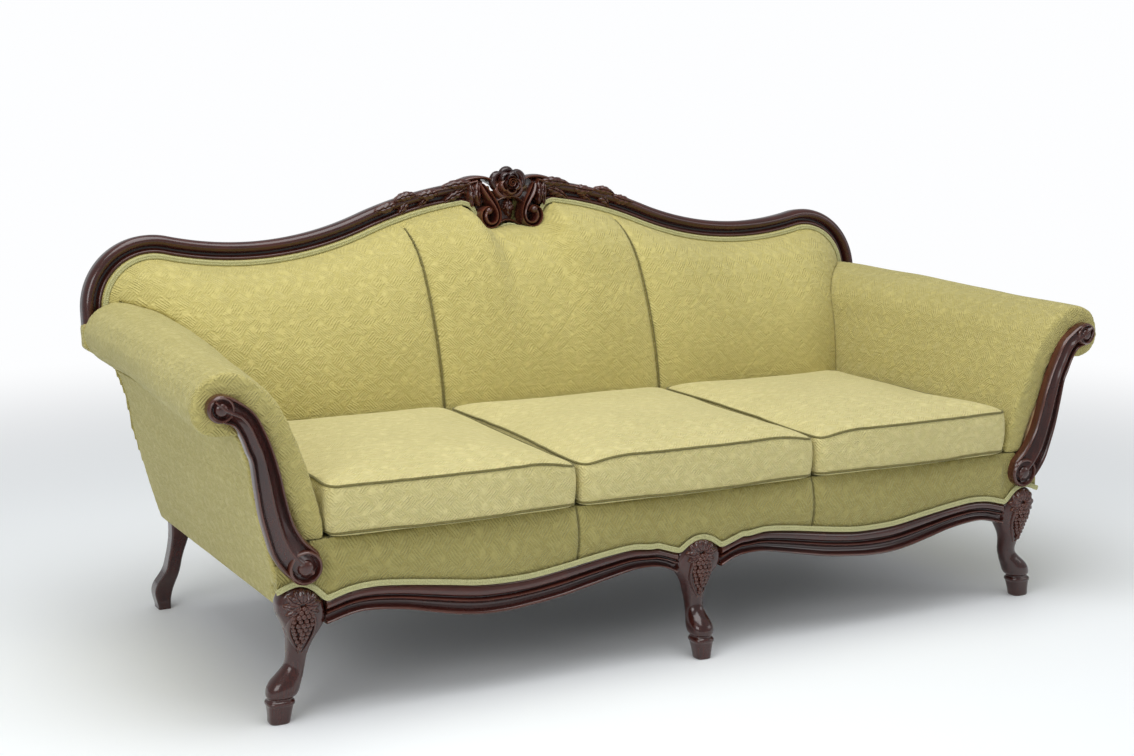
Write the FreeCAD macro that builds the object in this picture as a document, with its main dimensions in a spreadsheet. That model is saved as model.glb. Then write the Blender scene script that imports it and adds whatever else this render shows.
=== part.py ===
import FreeCAD, Part
import math
import os
import Sketcher

# Cabriole sofa for three: a beech seat, arm and back frame under upholstery, with show-wood
# legs, front rails, arm facings and a carved crest rail, and three loose seat cushions.
# Millimetres. X runs along the sofa, -Y is the front, +Z is up. The origin is on the floor,
# under the middle of the sofa.

V = FreeCAD.Vector
doc = FreeCAD.newDocument("cabriole_sofa")
sheet = doc.addObject("Spreadsheet::Sheet", "Sizes")

SIZES = (
    # The seat frame, its rails and what stands on it
    ("seam_x", 277.0, "centre line to the joint between two seat cushions"),
    ("seat_side_x", 790.5, "centre line to the side of an outer cushion"),
    ("rail_bottom_z", 215.0, "floor to the underside of the seat rails"),
    ("rail_height", 85.0, "height of the seat rails"),
    ("rail_thickness", 30.0, "thickness of the side and back seat rails"),
    ("front_rail_thickness", 27.0, "thickness of the inner front seat rail"),
    ("side_rail_out", 34.5, "side of an outer cushion out to the inner face of a side rail"),
    ("front_face_y", 437.0, "origin forward to the face of the front rails"),
    ("moulding_thickness", 25.0, "thickness of the moulded front rails"),
    ("moulding_step", 7.0, "how far the raised face of a front rail stands out"),
    ("moulding_margin", 9.0, "plain margin above and below the raised face"),
    ("stretcher_x", 300.0, "centre line to a seat stretcher"),
    ("stretcher_size", 32.0, "side of a seat stretcher"),
    ("block_leg", 70.0, "leg length of a triangular corner block"),
    ("block_height", 60.0, "height of a corner block"),
    # The moulded front rails, a serpentine line between the legs
    ("wave_peak_run", 103.0, "centre leg to the inner peak of the serpentine"),
    ("wave_end_run", 90.5, "outer leg to the outer peak of the serpentine"),
    ("wave_top_peak_z", 241.0, "height of the upper edge at its peaks"),
    ("wave_top_trough_z", 212.5, "height of the upper edge at its trough"),
    ("wave_top_end_z", 223.0, "height of the upper edge at the legs"),
    ("wave_low_peak_z", 198.0, "height of the lower edge at its peaks"),
    ("wave_low_trough_z", 154.5, "height of the lower edge at its trough"),
    ("wave_low_end_z", 180.0, "height of the lower edge at the legs"),
    # The legs
    ("side_leg_out", 48.5, "side of an outer cushion out to the middle of an outer front leg"),
    ("side_leg_half", 47.0, "half the width of an outer leg at its block"),
    ("centre_leg_half", 52.0, "half the width of the centre leg at its block"),
    ("leg_block_depth", 52.0, "depth of a front leg's block"),
    ("side_block_top_z", 258.0, "top of an outer front leg"),
    ("centre_block_top_z", 234.0, "top of the centre front leg"),
    ("block_bottom_z", 204.0, "where a front leg's block turns into the knee"),
    ("knee_proud", 9.0, "how far the knee swells in front of the block"),
    ("ankle_z", 102.0, "height of a front leg's ankle"),
    ("ankle_half", 17.5, "half the width of the ankle"),
    ("toe_z", 62.0, "height of the widest part of the scrolled toe"),
    ("toe_half", 27.0, "half the width of the toe"),
    ("pad_half", 17.0, "half the width of the foot on the floor"),
    ("toe_kick", 33.0, "how far a front toe stands out from its ankle"),
    ("back_leg_out", 42.5, "side of an outer cushion out to the top of a back leg"),
    ("back_leg_set", 9.3, "back plane's foot forward to the top of a back leg"),
    ("back_leg_half", 21.0, "half the width of a back leg at its top"),
    ("back_kick", 41.0, "how far a back foot stands behind its top"),
    ("back_splay", 32.0, "how far a back foot stands outside its top"),
    # The raked back frame and the crest rail, heights along the rake
    ("rake", 5.71, "lean of the back from upright, degrees"),
    ("rake_foot_y", 386.3, "origin back to the back plane at the floor"),
    ("panel_thickness", 8.0, "padded outside back panel"),
    ("post_depth", 30.0, "depth of the back posts and uprights"),
    ("upright_width", 45.0, "width of an upright behind a back seam"),
    ("crown_rise", 124.0, "how far the crest's crown rises over its hollow"),
    ("crown_radius", 1000.0, "radius of the crest's crown"),
    ("hollow_x", 650.0, "centre line to the lowest point of the crest's hollow"),
    ("hollow_height", 781.0, "middle line of the crest in its hollow"),
    ("shoulder_out", 199.5, "side of an outer cushion out to the crest rail where it runs down"),
    ("shoulder_radius", 135.0, "radius of the crest's shoulder"),
    ("crest_foot_drop", 141.0, "how far the crest rail's foot lies below its hollow"),
    ("crest_width", 42.0, "width of the crest rail's face"),
    ("crest_depth", 42.0, "thickness of the crest rail from front to back"),
    ("block_half_angle", 3.6, "half the angle of the carved centre block, degrees"),
    ("volute_x", 50.0, "centre line to the middle of a volute"),
    ("volute_drop", 62.0, "how far the volutes hang below the crown"),
    ("volute_radius", 32.0, "radius of a volute"),
    ("rose_rise", 9.0, "how far the rose's middle lies over the crown"),
    ("rose_radius", 38.0, "radius of the carved rose"),
    ("rose_depth", 26.0, "how far the rose stands in front of the block"),
    # The arms
    ("front_lean", 3.43, "forward lean of the arm fronts, degrees"),
    ("arm_set", 7.0, "how far the arm front lies behind the rail's face at the lower boss"),
    ("boss_height", 297.0, "height of the lower scroll boss"),
    ("boss_out", 44.5, "side of an outer cushion out to the lower scroll boss"),
    ("boss_radius", 33.0, "radius of the lower scroll boss"),
    ("scroll_out", 193.5, "side of an outer cushion out to the upper scroll boss"),
    ("scroll_height", 598.0, "height of the upper scroll boss"),
    ("scroll_radius", 25.0, "radius of the upper scroll boss"),
    ("facing_thickness", 24.0, "thickness of the show-wood arm facing"),
    ("boss_proud", 4.0, "how far the scroll bosses stand in front of the facing"),
    ("front_post_thickness", 28.0, "thickness of the front arm post"),
    ("arm_rail_width", 40.0, "width of the arm's top rail"),
    ("arm_rail_height", 28.0, "height of the arm's top rail"),
    ("arm_rail_in", 39.0, "upper scroll boss in to the inner side of the arm's top rail"),
    ("arm_rail_drop", 13.0, "upper scroll boss down to the underside of the arm's top rail"),
    ("liner_thickness", 20.0, "thickness of the tacking rails"),
    ("liner_height", 40.0, "height of the tacking rails"),
    ("arm_liner_out", 56.5, "side of an outer cushion out to an arm's tacking rail"),
    ("arm_panel_thickness", 10.0, "padded outside arm panel"),
    # The upholstery
    ("deck_thickness", 40.0, "stuffed seat deck over the springs"),
    ("deck_overlap", 11.0, "how far the deck reaches over a side rail"),
    ("deck_set", 10.3, "back plane's foot forward to the rear edge of the deck"),
    ("cushion_gap", 0.3, "running clearance round a loose cushion"),
    ("cushion_height", 96.0, "boxing of a seat cushion, seam to seam"),
    ("cushion_crown", 28.0, "how far a cushion's top swells above its seam"),
    ("cushion_corner", 22.0, "corner radius of a cushion"),
    ("cushion_pull", 5.0, "how far a cushion's sides draw in between its corners"),
    ("cushion_bow", 9.0, "how far a cushion's front bows out"),
    ("cushion_overhang", 9.0, "how far a cushion's front seam stands out from the rail's face"),
    ("cushion_back_y", 185.0, "origin back to the rear of a cushion"),
    ("back_bulge", 13.0, "how far a back panel swells between its seams"),
    ("gimp_width", 11.0, "width of the gimp braid"),
    ("gimp_thickness", 2.5, "thickness of the gimp braid"),
    # Springs, webbing and dowels
    ("spring_wire", 3.6, "diameter of the seat spring wire"),
    ("spring_pitch", 60.0, "front to back length of one bend pair of a spring"),
    ("spring_bend", 20.0, "half the straight run across a spring"),
    ("springs_per_seat", 4.0, "springs under one cushion"),
    ("clip_height", 14.0, "height of a spring clip"),
    ("clip_depth", 10.0, "how far a spring clip stands off its rail"),
    ("web_width", 50.0, "width of the jute webbing"),
    ("web_thickness", 1.5, "thickness of the jute webbing"),
    ("web_spacing", 110.0, "distance between two straps of the back webbing"),
    ("dust_thickness", 2.0, "thickness of the dust cover"),
    ("dowel_radius", 5.0, "radius of a frame dowel"),
    ("dowel_length", 40.0, "length of a frame dowel"),
)
for row, (alias, value, meaning) in enumerate(SIZES, start=1):
    sheet.set(f"A{row}", alias.replace("_", " "))
    sheet.set(f"B{row}", str(value))
    sheet.set(f"C{row}", meaning)
    sheet.setAlias(f"B{row}", alias)

# Places that follow from the sizes, from the centre line, the floor or the origin
PLACES = (
    ("side_rail_x", "Sizes.seat_side_x + Sizes.side_rail_out", "inner face of a side rail"),
    ("side_leg_x", "Sizes.seat_side_x + Sizes.side_leg_out", "middle of an outer front leg"),
    ("back_leg_x", "Sizes.seat_side_x + Sizes.back_leg_out", "top of a back leg, across"),
    ("back_leg_y", "Sizes.rake_foot_y - Sizes.back_leg_set", "top of a back leg, back"),
    ("shoulder_x", "Sizes.seat_side_x + Sizes.shoulder_out", "crest rail where it runs down"),
    ("crest_top", "Sizes.hollow_height + Sizes.crown_rise", "crest rail at the centre"),
    ("crest_end", "Sizes.hollow_height - Sizes.crest_foot_drop", "foot of the crest rail"),
    ("volute_height", "Sizes.hollow_height + Sizes.crown_rise - Sizes.volute_drop", "middle of the volutes"),
    ("rose_height", "Sizes.hollow_height + Sizes.crown_rise + Sizes.rose_rise", "middle of the rose"),
    ("arm_front_y", "Sizes.front_face_y - Sizes.arm_set", "arm front at the lower boss"),
    ("boss_x", "Sizes.seat_side_x + Sizes.boss_out", "lower scroll boss"),
    ("scroll_x", "Sizes.seat_side_x + Sizes.scroll_out", "upper scroll boss"),
    ("arm_rail_x", "Sizes.seat_side_x + Sizes.scroll_out - Sizes.arm_rail_in", "arm's top rail, across"),
    ("arm_rail_z", "Sizes.scroll_height - Sizes.arm_rail_drop", "underside of the arm's top rail"),
    ("arm_liner_x", "Sizes.seat_side_x + Sizes.arm_liner_out", "inner side of an arm's tacking rail"),
    ("deck_half_width", "Sizes.seat_side_x + Sizes.side_rail_out + Sizes.deck_overlap", "side of the deck"),
    ("deck_back_y", "Sizes.rake_foot_y - Sizes.deck_set", "rear edge of the deck"),
    ("cushion_front_y", "Sizes.front_face_y + Sizes.cushion_overhang", "front seam of a cushion"),
)
places = doc.addObject("Spreadsheet::Sheet", "Places")
for row, (alias, formula, meaning) in enumerate(PLACES, start=1):
    places.set(f"A{row}", alias.replace("_", " "))
    places.set(f"B{row}", "=" + formula)
    places.set(f"C{row}", meaning)
    places.setAlias(f"B{row}", alias)
doc.recompute()

PIECES = []


def size(alias):
    """A driving dimension as a plain number."""
    return float(sheet.get(alias))


def place(alias):
    """A place that follows from the driving dimensions, as a plain number."""
    return float(places.get(alias))


def bind(piece, formulas):
    """Bind properties of a piece to formulas over the cells of the two sheets."""
    for target, formula in formulas.items():
        piece.setExpression(target, formula)


def keep(piece, label):
    """Name a finished piece and note it for export."""
    piece.Label = label
    PIECES.append(piece)
    return piece


def shaped(label, shape):
    """A piece whose form comes from lofts, sweeps or cuts."""
    piece = doc.addObject("Part::Feature", label)
    piece.Shape = shape
    return keep(piece, label)


def timber(label, corner, lengths):
    """A straight sawn member, its corner and its three lengths given as formulas."""
    piece = doc.addObject("Part::Box", label)
    bind(piece, dict(zip(("Placement.Base.x", "Placement.Base.y", "Placement.Base.z"), corner)))
    bind(piece, dict(zip(("Length", "Width", "Height"), lengths)))
    return piece


def board(label, plane, corners, thickness, base, rotation=None):
    """A shaped board: a polygon of formula pairs on a plane of its body, padded one way."""
    body = doc.addObject("PartDesign::Body", label)
    sketch = body.newObject("Sketcher::SketchObject", label + "_outline")
    origin_plane = next(item for item in body.Origin.OriginFeatures if item.Role == plane)
    sketch.AttachmentSupport = [(origin_plane, "")]
    sketch.MapMode = "FlatFace"
    count = len(corners)
    places = [V(evaluated(across), evaluated(up), 0) for across, up in corners]
    for index in range(count):
        sketch.addGeometry(Part.LineSegment(places[index], places[(index + 1) % count]))
    for index in range(count):
        sketch.addConstraint(Sketcher.Constraint("Coincident", index, 2, (index + 1) % count, 1))
    for index, (across, up) in enumerate(corners):
        for kind, formula, value in (("DistanceX", across, places[index].x),
                                     ("DistanceY", up, places[index].y)):
            number = sketch.addConstraint(Sketcher.Constraint(kind, -1, 1, index, 1, value))
            sketch.setExpression(f"Constraints[{number}]", formula)
    pad = body.newObject("PartDesign::Pad", label + "_pad")
    pad.Profile = sketch
    pad.setExpression("Length", thickness)
    if rotation:
        axis, angle, formula = rotation
        body.Placement = FreeCAD.Placement(V(0, 0, 0), FreeCAD.Rotation(axis, angle))
        body.setExpression("Placement.Rotation.Angle", formula)
    bind(body, dict(zip(("Placement.Base.x", "Placement.Base.y", "Placement.Base.z"), base)))
    return keep(body, label)


def evaluated(formula):
    """The present value of a formula, for a sketch's first drawing."""
    result = places.evalExpression(formula.replace("Places.", ""))
    return float(getattr(result, "Value", result))


def closed_face(edges):
    """A flat face inside edges given in any order."""
    return Part.Face(Part.Wire(Part.__sortEdges__(edges)))


def arc(first, middle, last):
    return Part.Arc(first, middle, last).toShape()


def mirrored(shape):
    """The left-hand copy of a right-hand shape."""
    return shape.mirror(V(0, 0, 0), V(1, 0, 0))


def pair(name, shape):
    """A right piece and its mirror image on the left."""
    shaped(name + "_right", shape)
    shaped(name + "_left", mirrored(shape))


deck_z = size("rail_bottom_z") + size("rail_height") + size("deck_thickness")
rail_top = "Sizes.rail_bottom_z + Sizes.rail_height"
inner_rail_y = "-Sizes.front_face_y + Sizes.moulding_thickness"
frame_front_y = "-Sizes.front_face_y + Sizes.moulding_thickness + Sizes.front_rail_thickness"
front_y = -size("front_face_y")
inner_front_y = front_y + size("moulding_thickness")
frame_y = inner_front_y + size("front_rail_thickness")
rake_tangent = math.tan(math.radians(size("rake")))
rake_placement = FreeCAD.Placement(V(0, size("rake_foot_y"), 0),
                                   FreeCAD.Rotation(V(1, 0, 0), -size("rake")))
post_front = size("panel_thickness") + size("post_depth")


def raked(shape):
    """A shape drawn on the back plane, leaned back into place. Forward is -Y, as in the room."""
    shape.Placement = rake_placement
    return shape


def back_y(z, forward):
    """How far back a height of the raked frame lies, a distance in front of the back plane."""
    return size("rake_foot_y") + z * rake_tangent - forward / math.cos(math.radians(size("rake")))


# Dowels of the seat frame: two at each end of the inner front rail, into the outer legs
dowel_y = (inner_front_y + frame_y) / 2
dowel_x = place("side_leg_x") - size("side_leg_half") - size("dowel_length") / 2
leg_joint_bottom = size("rail_bottom_z")
leg_joint_height = size("side_block_top_z") - leg_joint_bottom
frame_dowels = []
for share in (0.28, 0.72):
    peg_height = leg_joint_bottom + share * leg_joint_height
    peg = Part.makeCylinder(size("dowel_radius"), size("dowel_length"),
                            V(dowel_x, dowel_y, peg_height), V(1, 0, 0))
    frame_dowels += [peg, mirrored(peg)]
frame_dowel_group = shaped("frame_dowels", Part.makeCompound(frame_dowels))


# Inner front seat rail, between the outer legs, bored for the dowels
rail_blank = timber("seat_front_rail_blank",
                    ("-Places.side_leg_x + Sizes.side_leg_half", inner_rail_y, "Sizes.rail_bottom_z"),
                    ("2 * (Places.side_leg_x - Sizes.side_leg_half)", "Sizes.front_rail_thickness",
                     "Sizes.rail_height"))
seat_front_rail = doc.addObject("Part::Cut", "seat_front_rail")
seat_front_rail.Base = rail_blank
seat_front_rail.Tool = frame_dowel_group
keep(seat_front_rail, "seat_front_rail")

# Side seat rails, cut to the rake where they meet the back rail
rail_meeting = ("Sizes.rake_foot_y + ({0}) * tan(Sizes.rake)"
                " - (Sizes.panel_thickness + Sizes.rail_thickness) / cos(Sizes.rake)")
for side, start in (("right", "Places.side_rail_x"), ("left", "-Places.side_rail_x - Sizes.rail_thickness")):
    board("seat_side_rail_" + side, "YZ_Plane",
          ((frame_front_y, "Sizes.rail_bottom_z"), (frame_front_y, rail_top),
           (rail_meeting.format(rail_top), rail_top),
           (rail_meeting.format("Sizes.rail_bottom_z"), "Sizes.rail_bottom_z")),
          "Sizes.rail_thickness", (start, "0", "0"))

# Back seat rail, leaned with the back frame
back_rail_half = "(Places.side_rail_x + Sizes.rail_thickness)"
seat_back_rail = timber("seat_back_rail", ("0", "0", "0"),
                        ("2 * " + back_rail_half, "Sizes.rail_thickness", "Sizes.rail_height"))
keep(seat_back_rail, "seat_back_rail")


def lean_box(piece, across, forward, up):
    """Stand a member in the raked back frame: its offset across, its far face forward, its foot up."""
    piece.Placement = FreeCAD.Placement(V(0, 0, 0), FreeCAD.Rotation(V(1, 0, 0), -size("rake")))
    bind(piece, {
        "Placement.Rotation.Angle": "-Sizes.rake",
        "Placement.Base.x": across,
        "Placement.Base.y": f"Sizes.rake_foot_y + ({up}) * sin(Sizes.rake) - ({forward}) * cos(Sizes.rake)",
        "Placement.Base.z": f"({up}) * cos(Sizes.rake) + ({forward}) * sin(Sizes.rake)",
    })


lean_box(seat_back_rail, "-" + back_rail_half, "Sizes.panel_thickness + Sizes.rail_thickness",
         "Sizes.rail_bottom_z")

# Two seat stretchers from the front rail to the back rail
for side, across in (("right", "Sizes.stretcher_x"), ("left", "-Sizes.stretcher_x - Sizes.stretcher_size")):
    keep(timber("seat_stretcher_" + side, (across, frame_front_y, "Sizes.rail_bottom_z"),
                ("Sizes.stretcher_size",
                 "(" + rail_meeting.format("Sizes.rail_bottom_z") + ") - (" + frame_front_y + ")",
                 "Sizes.stretcher_size")),
         "seat_stretcher_" + side)

# Glued corner blocks in the front corners of the seat frame
for side, across, way in (("right", "Places.side_rail_x", "-"), ("left", "-Places.side_rail_x", "+")):
    board("corner_block_" + side, "XY_Plane",
          ((across, frame_front_y), (across + way + "Sizes.block_leg", frame_front_y),
           (across, frame_front_y + " + Sizes.block_leg")),
          "Sizes.block_height", ("0", "0", "Sizes.rail_bottom_z"))


# Serpentine lines of the front rails, right half, in the plane of the rail's face
def level_arc(flat, end):
    """An arc that is level at its first point and ends at its second."""
    run = end.x - flat.x
    rise = end.z - flat.z
    radius = (run * run + rise * rise) / (2 * abs(rise))
    middle_rise = math.copysign(radius - math.sqrt(radius * radius - run * run / 4), rise)
    return arc(flat, V(flat.x + run / 2, flat.y, flat.z + middle_rise), end)


def serpentine(peak_z, trough_z, end_z, lift=0.0):
    """The wave between the centre leg and an outer leg: hump, hollow and hump."""
    inner = V(size("centre_leg_half"), 0, end_z + lift)
    outer = V(place("side_leg_x") - size("side_leg_half"), 0, end_z + lift)
    first = V(inner.x + size("wave_peak_run"), 0, peak_z + lift)
    last = V(outer.x - size("wave_end_run"), 0, peak_z + lift)
    trough = V((first.x + last.x) / 2, 0, trough_z + lift)
    return [level_arc(first, inner), level_arc(first, (first + trough) / 2),
            level_arc(trough, (first + trough) / 2), level_arc(trough, (trough + last) / 2),
            level_arc(last, (trough + last) / 2), level_arc(last, outer)]


top_wave = (size("wave_top_peak_z"), size("wave_top_trough_z"), size("wave_top_end_z"))
low_wave = (size("wave_low_peak_z"), size("wave_low_trough_z"), size("wave_low_end_z"))


def rail_face(margin):
    """The outline of a moulded front rail, drawn in by a margin above and below."""
    inner_x = size("centre_leg_half")
    outer_x = place("side_leg_x") - size("side_leg_half")
    ends = [Part.makeLine(V(x, 0, low_wave[2] + margin), V(x, 0, top_wave[2] - margin))
            for x in (inner_x, outer_x)]
    return closed_face(serpentine(*top_wave, -margin) + serpentine(*low_wave, margin) + ends)


# Moulded front rails of show-wood, glued to the face of the seat rail
moulding_back = size("moulding_thickness") - size("moulding_step")
moulded_rail = rail_face(0).extrude(V(0, -moulding_back, 0))
raised_face = rail_face(size("moulding_margin")).extrude(V(0, -size("moulding_thickness"), 0))
moulded_rail = moulded_rail.fuse(raised_face).removeSplitter()
moulded_rail.translate(V(0, inner_front_y, 0))
pair("front_rail", moulded_rail)


# Legs: sections from the block down through the knee and ankle to the toe and the foot
def leg_section(x, y, z, half_width, half_depth, corner):
    """A level section of a leg, a rectangle with rounded corners."""
    inner_w = half_width - corner
    inner_d = half_depth - corner
    nick = corner * (1 - math.sqrt(0.5))
    edges = []
    for turn_x, turn_y, next_x, next_y in ((-1, -1, 1, -1), (1, -1, 1, 1), (1, 1, -1, 1), (-1, 1, -1, -1)):
        across = turn_x != next_x
        start = V(x + turn_x * (inner_w if across else half_width),
                  y + turn_y * (half_depth if across else inner_d), z)
        end = V(x + next_x * (inner_w if across else half_width),
                y + next_y * (half_depth if across else inner_d), z)
        corner_end = V(x + next_x * (half_width if across else inner_w),
                       y + next_y * (inner_d if across else half_depth), z)
        middle = V(x + next_x * (half_width - nick), y + next_y * (half_depth - nick), z)
        edges += [Part.makeLine(start, end), arc(end, middle, corner_end)]
    return Part.Wire(edges)


def front_leg(block_x, half_width, top_z, kick_x, kick_y, ankle_y):
    """A cabriole front leg with a square block on top, cut away for the seat rail."""
    depth = size("leg_block_depth")
    block_y = front_y + depth / 2
    bottom = size("block_bottom_z")
    block = Part.makeBox(2 * half_width, depth, top_z - bottom, V(block_x - half_width, front_y, bottom))
    ankle = size("ankle_half")
    toe = size("toe_half")
    foot = size("pad_half")
    kick = size("toe_kick")
    swell = size("knee_proud")
    stations = (
        (bottom, 0.0, half_width, depth / 2, 6.0),
        (knee_height(0.18), 0.0, half_width * 0.97, depth / 2 + swell / 2, 12.0),
        (knee_height(0.40), 0.0, half_width * 0.76, depth / 2 + swell / 3, 14.0),
        (knee_height(0.66), 0.0, ankle + 0.28 * (half_width - ankle), (depth / 2 + ankle) / 2, 11.0),
        (size("ankle_z"), 0.0, ankle, ankle, ankle * 0.6),
        (size("ankle_z") - 16, 0.35, ankle + 3, ankle + 3, ankle * 0.6),
        (size("toe_z"), 0.85, toe, toe * 0.95, toe * 0.6),
        (size("toe_z") - 22, 1.05, toe - 3, toe - 3, toe * 0.5),
        (size("toe_z") - 38, 1.08, foot, foot, foot * 0.5),
        (size("toe_z") - 50, 1.05, foot + 2, foot + 2, foot * 0.5),
        (0.0, 1.0, foot - 3, foot - 3, foot * 0.5),
    )
    wires = []
    for z, share, half_w, half_d, corner in stations:
        drop = (bottom - z) / (bottom - size("ankle_z"))
        settle = ankle_y * min(max(drop, 0.0), 1.0)
        wires.append(leg_section(block_x + share * kick * kick_x,
                                 block_y + settle + share * kick * kick_y, z, half_w, half_d, corner))
    shank = Part.makeLoft(wires, True, False)
    leg = block.fuse(shank)
    cutter = Part.makeBox(2 * (place("side_leg_x") - size("side_leg_half")), size("front_rail_thickness"),
                          size("rail_height"),
                          V(size("side_leg_half") - place("side_leg_x"), inner_front_y, size("rail_bottom_z")))
    return leg.cut(Part.makeCompound([cutter, moulded_rail, mirrored(moulded_rail)] + frame_dowels))


def knee_height(share):
    """A height part of the way from the bottom of the block down to the ankle."""
    return size("block_bottom_z") + share * (size("ankle_z") - size("block_bottom_z"))


outer_leg = front_leg(place("side_leg_x"), size("side_leg_half"), size("side_block_top_z"), 1.0, -0.3, 16.0)
pair("front_leg", outer_leg)
shaped("front_leg_centre",
       front_leg(0.0, size("centre_leg_half"), size("centre_block_top_z"), 0.0, -1.0, -2.0))

# Back legs: plain, sawn, kicking out and back, under the corners of the seat frame
back_x = place("back_leg_x")
back_leg_top_y = place("back_leg_y")
back_half = size("back_leg_half")
back_stations = (
    (size("rail_bottom_z") - 0.5, 0.0, 0.0, 0.0, -1.0),
    (200.0, 0.0, 0.0, 0.0, -1.0),
    (182.0, 0.03, 0.0, 1.0, -1.0),
    (150.0, 0.20, 0.07, 4.0, -2.0),
    (110.0, 0.42, 0.34, 6.0, -1.0),
    (66.0, 0.78, 0.80, 2.0, 0.0),
    (46.0, 0.98, 1.0, 1.0, 0.0),
    (20.0, 1.04, 1.04, 5.0, 1.0),
    (0.0, 1.0, 1.0, 7.0, 1.0),
)
back_wires = [leg_section(back_x + splay * size("back_splay"), back_leg_top_y + kick * size("back_kick"),
                          z, back_half - slim, back_half - 1 + deep, 5.0)
              for z, splay, kick, slim, deep in back_stations]
pair("back_leg", Part.makeLoft(back_wires, True, False))


# The crest line: a crown, a hollow and a shoulder in tangent arcs, then straight down
def crest_centres():
    """Centres of the crown, hollow and shoulder arcs, and the hollow's radius."""
    drop = place("crest_top") - size("hollow_height")
    both_radii = (size("hollow_x") ** 2 + drop ** 2) / (2 * drop)
    hollow_radius = both_radii - size("crown_radius")
    crown = V(0, 0, place("crest_top") - size("crown_radius"))
    hollow = V(size("hollow_x"), 0, size("hollow_height") + hollow_radius)
    shoulder_x = place("shoulder_x") - size("shoulder_radius")
    reach = hollow_radius + size("shoulder_radius")
    shoulder_z = hollow.z - math.sqrt(reach ** 2 - (shoulder_x - hollow.x) ** 2)
    return crown, hollow, V(shoulder_x, 0, shoulder_z), hollow_radius


CROWN, HOLLOW, SHOULDER, HOLLOW_RADIUS = crest_centres()
crown_end = math.degrees(math.atan2(HOLLOW.z - CROWN.z, HOLLOW.x))
hollow_end = math.degrees(math.atan2(SHOULDER.z - HOLLOW.z, SHOULDER.x - HOLLOW.x))
block_angle = 90 - size("block_half_angle")
half_crest = size("crest_width") / 2


def on_circle(centre, radius, angle):
    turn = math.radians(angle)
    return centre + V(radius * math.cos(turn), 0, radius * math.sin(turn))


def turn_arc(centre, radius, start, end):
    """An arc on the back plane, its angles in degrees from +X towards +Z."""
    return arc(on_circle(centre, radius, start), on_circle(centre, radius, (start + end) / 2),
               on_circle(centre, radius, end))


def crest_line(offset, start_angle=90.0, foot=None):
    """The right half of the crest line moved out by an offset, from its crown to its foot."""
    foot_z = place("crest_end") if foot is None else foot
    side_x = place("shoulder_x") + offset
    return [turn_arc(CROWN, size("crown_radius") + offset, start_angle, crown_end),
            turn_arc(HOLLOW, HOLLOW_RADIUS - offset, crown_end - 180, hollow_end),
            turn_arc(SHOULDER, size("shoulder_radius") + offset, hollow_end + 180, 0),
            Part.makeLine(V(side_x, 0, SHOULDER.z), V(side_x, 0, foot_z))]


def crest_height(x, offset):
    """Height of the offset crest line at a distance from the centre line."""
    crown_radius = size("crown_radius") + offset
    hollow_radius = HOLLOW_RADIUS - offset
    if x <= on_circle(CROWN, crown_radius, crown_end).x:
        return CROWN.z + math.sqrt(crown_radius ** 2 - x ** 2)
    if x <= on_circle(HOLLOW, hollow_radius, hollow_end).x:
        return HOLLOW.z - math.sqrt(hollow_radius ** 2 - (x - HOLLOW.x) ** 2)
    return SHOULDER.z + math.sqrt((size("shoulder_radius") + offset) ** 2 - (x - SHOULDER.x) ** 2)


# Crest rails: a wide bead, a groove and a thin bead, run along the crest line
radial = on_circle(V(0, 0, 0), 1, block_angle)
profile_middle = on_circle(CROWN, size("crown_radius"), block_angle)


def crest_point(out, forward):
    return profile_middle + radial * out - V(0, forward, 0)


depth = size("crest_depth")
outer_flat = 0.62 * depth
groove_depth = 0.74 * depth
crest_profile = [
    Part.makeLine(crest_point(-half_crest, 0), crest_point(half_crest, 0)),
    Part.makeLine(crest_point(half_crest, 0), crest_point(half_crest, outer_flat)),
    arc(crest_point(half_crest, outer_flat), crest_point(half_crest * 0.45, depth),
        crest_point(-half_crest * 0.24, groove_depth)),
    arc(crest_point(-half_crest * 0.24, groove_depth), crest_point(-half_crest * 0.62, 0.88 * depth),
        crest_point(-half_crest, outer_flat)),
    Part.makeLine(crest_point(-half_crest, outer_flat), crest_point(-half_crest, 0)),
]
crest_sweep = Part.Wire(crest_line(0.0, block_angle)).makePipeShell([Part.Wire(crest_profile)], True, False)
crest_dowels = []
for forward in (0.3 * depth, 0.66 * depth):
    peg_start = on_circle(CROWN, size("crown_radius"), block_angle)
    along = V(radial.z, 0, -radial.x)
    peg = Part.makeCylinder(size("dowel_radius"), size("dowel_length"),
                            peg_start - along * (size("dowel_length") / 2) - V(0, forward, 0), along)
    crest_dowels += [peg, mirrored(peg)]
crest_dowel_group = Part.makeCompound(crest_dowels)
crest_rail = crest_sweep.cut(crest_dowel_group)
pair("crest_rail", raked(crest_rail.copy()))

# Carved centre block with two volutes that hang over the top of the back
block_edges = [
    turn_arc(CROWN, size("crown_radius") + half_crest, block_angle, 180 - block_angle),
    turn_arc(CROWN, size("crown_radius") - half_crest, block_angle, 180 - block_angle),
]
for angle in (block_angle, 180 - block_angle):
    block_edges.append(Part.makeLine(on_circle(CROWN, size("crown_radius") - half_crest, angle),
                                     on_circle(CROWN, size("crown_radius") + half_crest, angle)))
cartouche = closed_face(block_edges).extrude(V(0, -depth, 0))
volute_depth = size("crest_depth") / 2
volute_foot = V(0, -volute_depth, 0)
for side in (-1, 1):
    centre = V(side * size("volute_x"), 0, place("volute_height"))
    volute = Part.makeCylinder(size("volute_radius"), volute_depth + 3, centre + volute_foot, V(0, -1, 0))
    cartouche = cartouche.fuse(volute)
web_height = CROWN.z + size("crown_radius") - half_crest - place("volute_height") + 14
web = Part.makeBox(2 * size("volute_x"), volute_depth, web_height,
                   V(-size("volute_x"), -depth, place("volute_height") - 12))
cartouche = cartouche.fuse(web).removeSplitter().cut(crest_dowel_group)
shaped("crest_cartouche", raked(cartouche.copy()))
shaped("crest_dowels", raked(crest_dowel_group.copy()))

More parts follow.
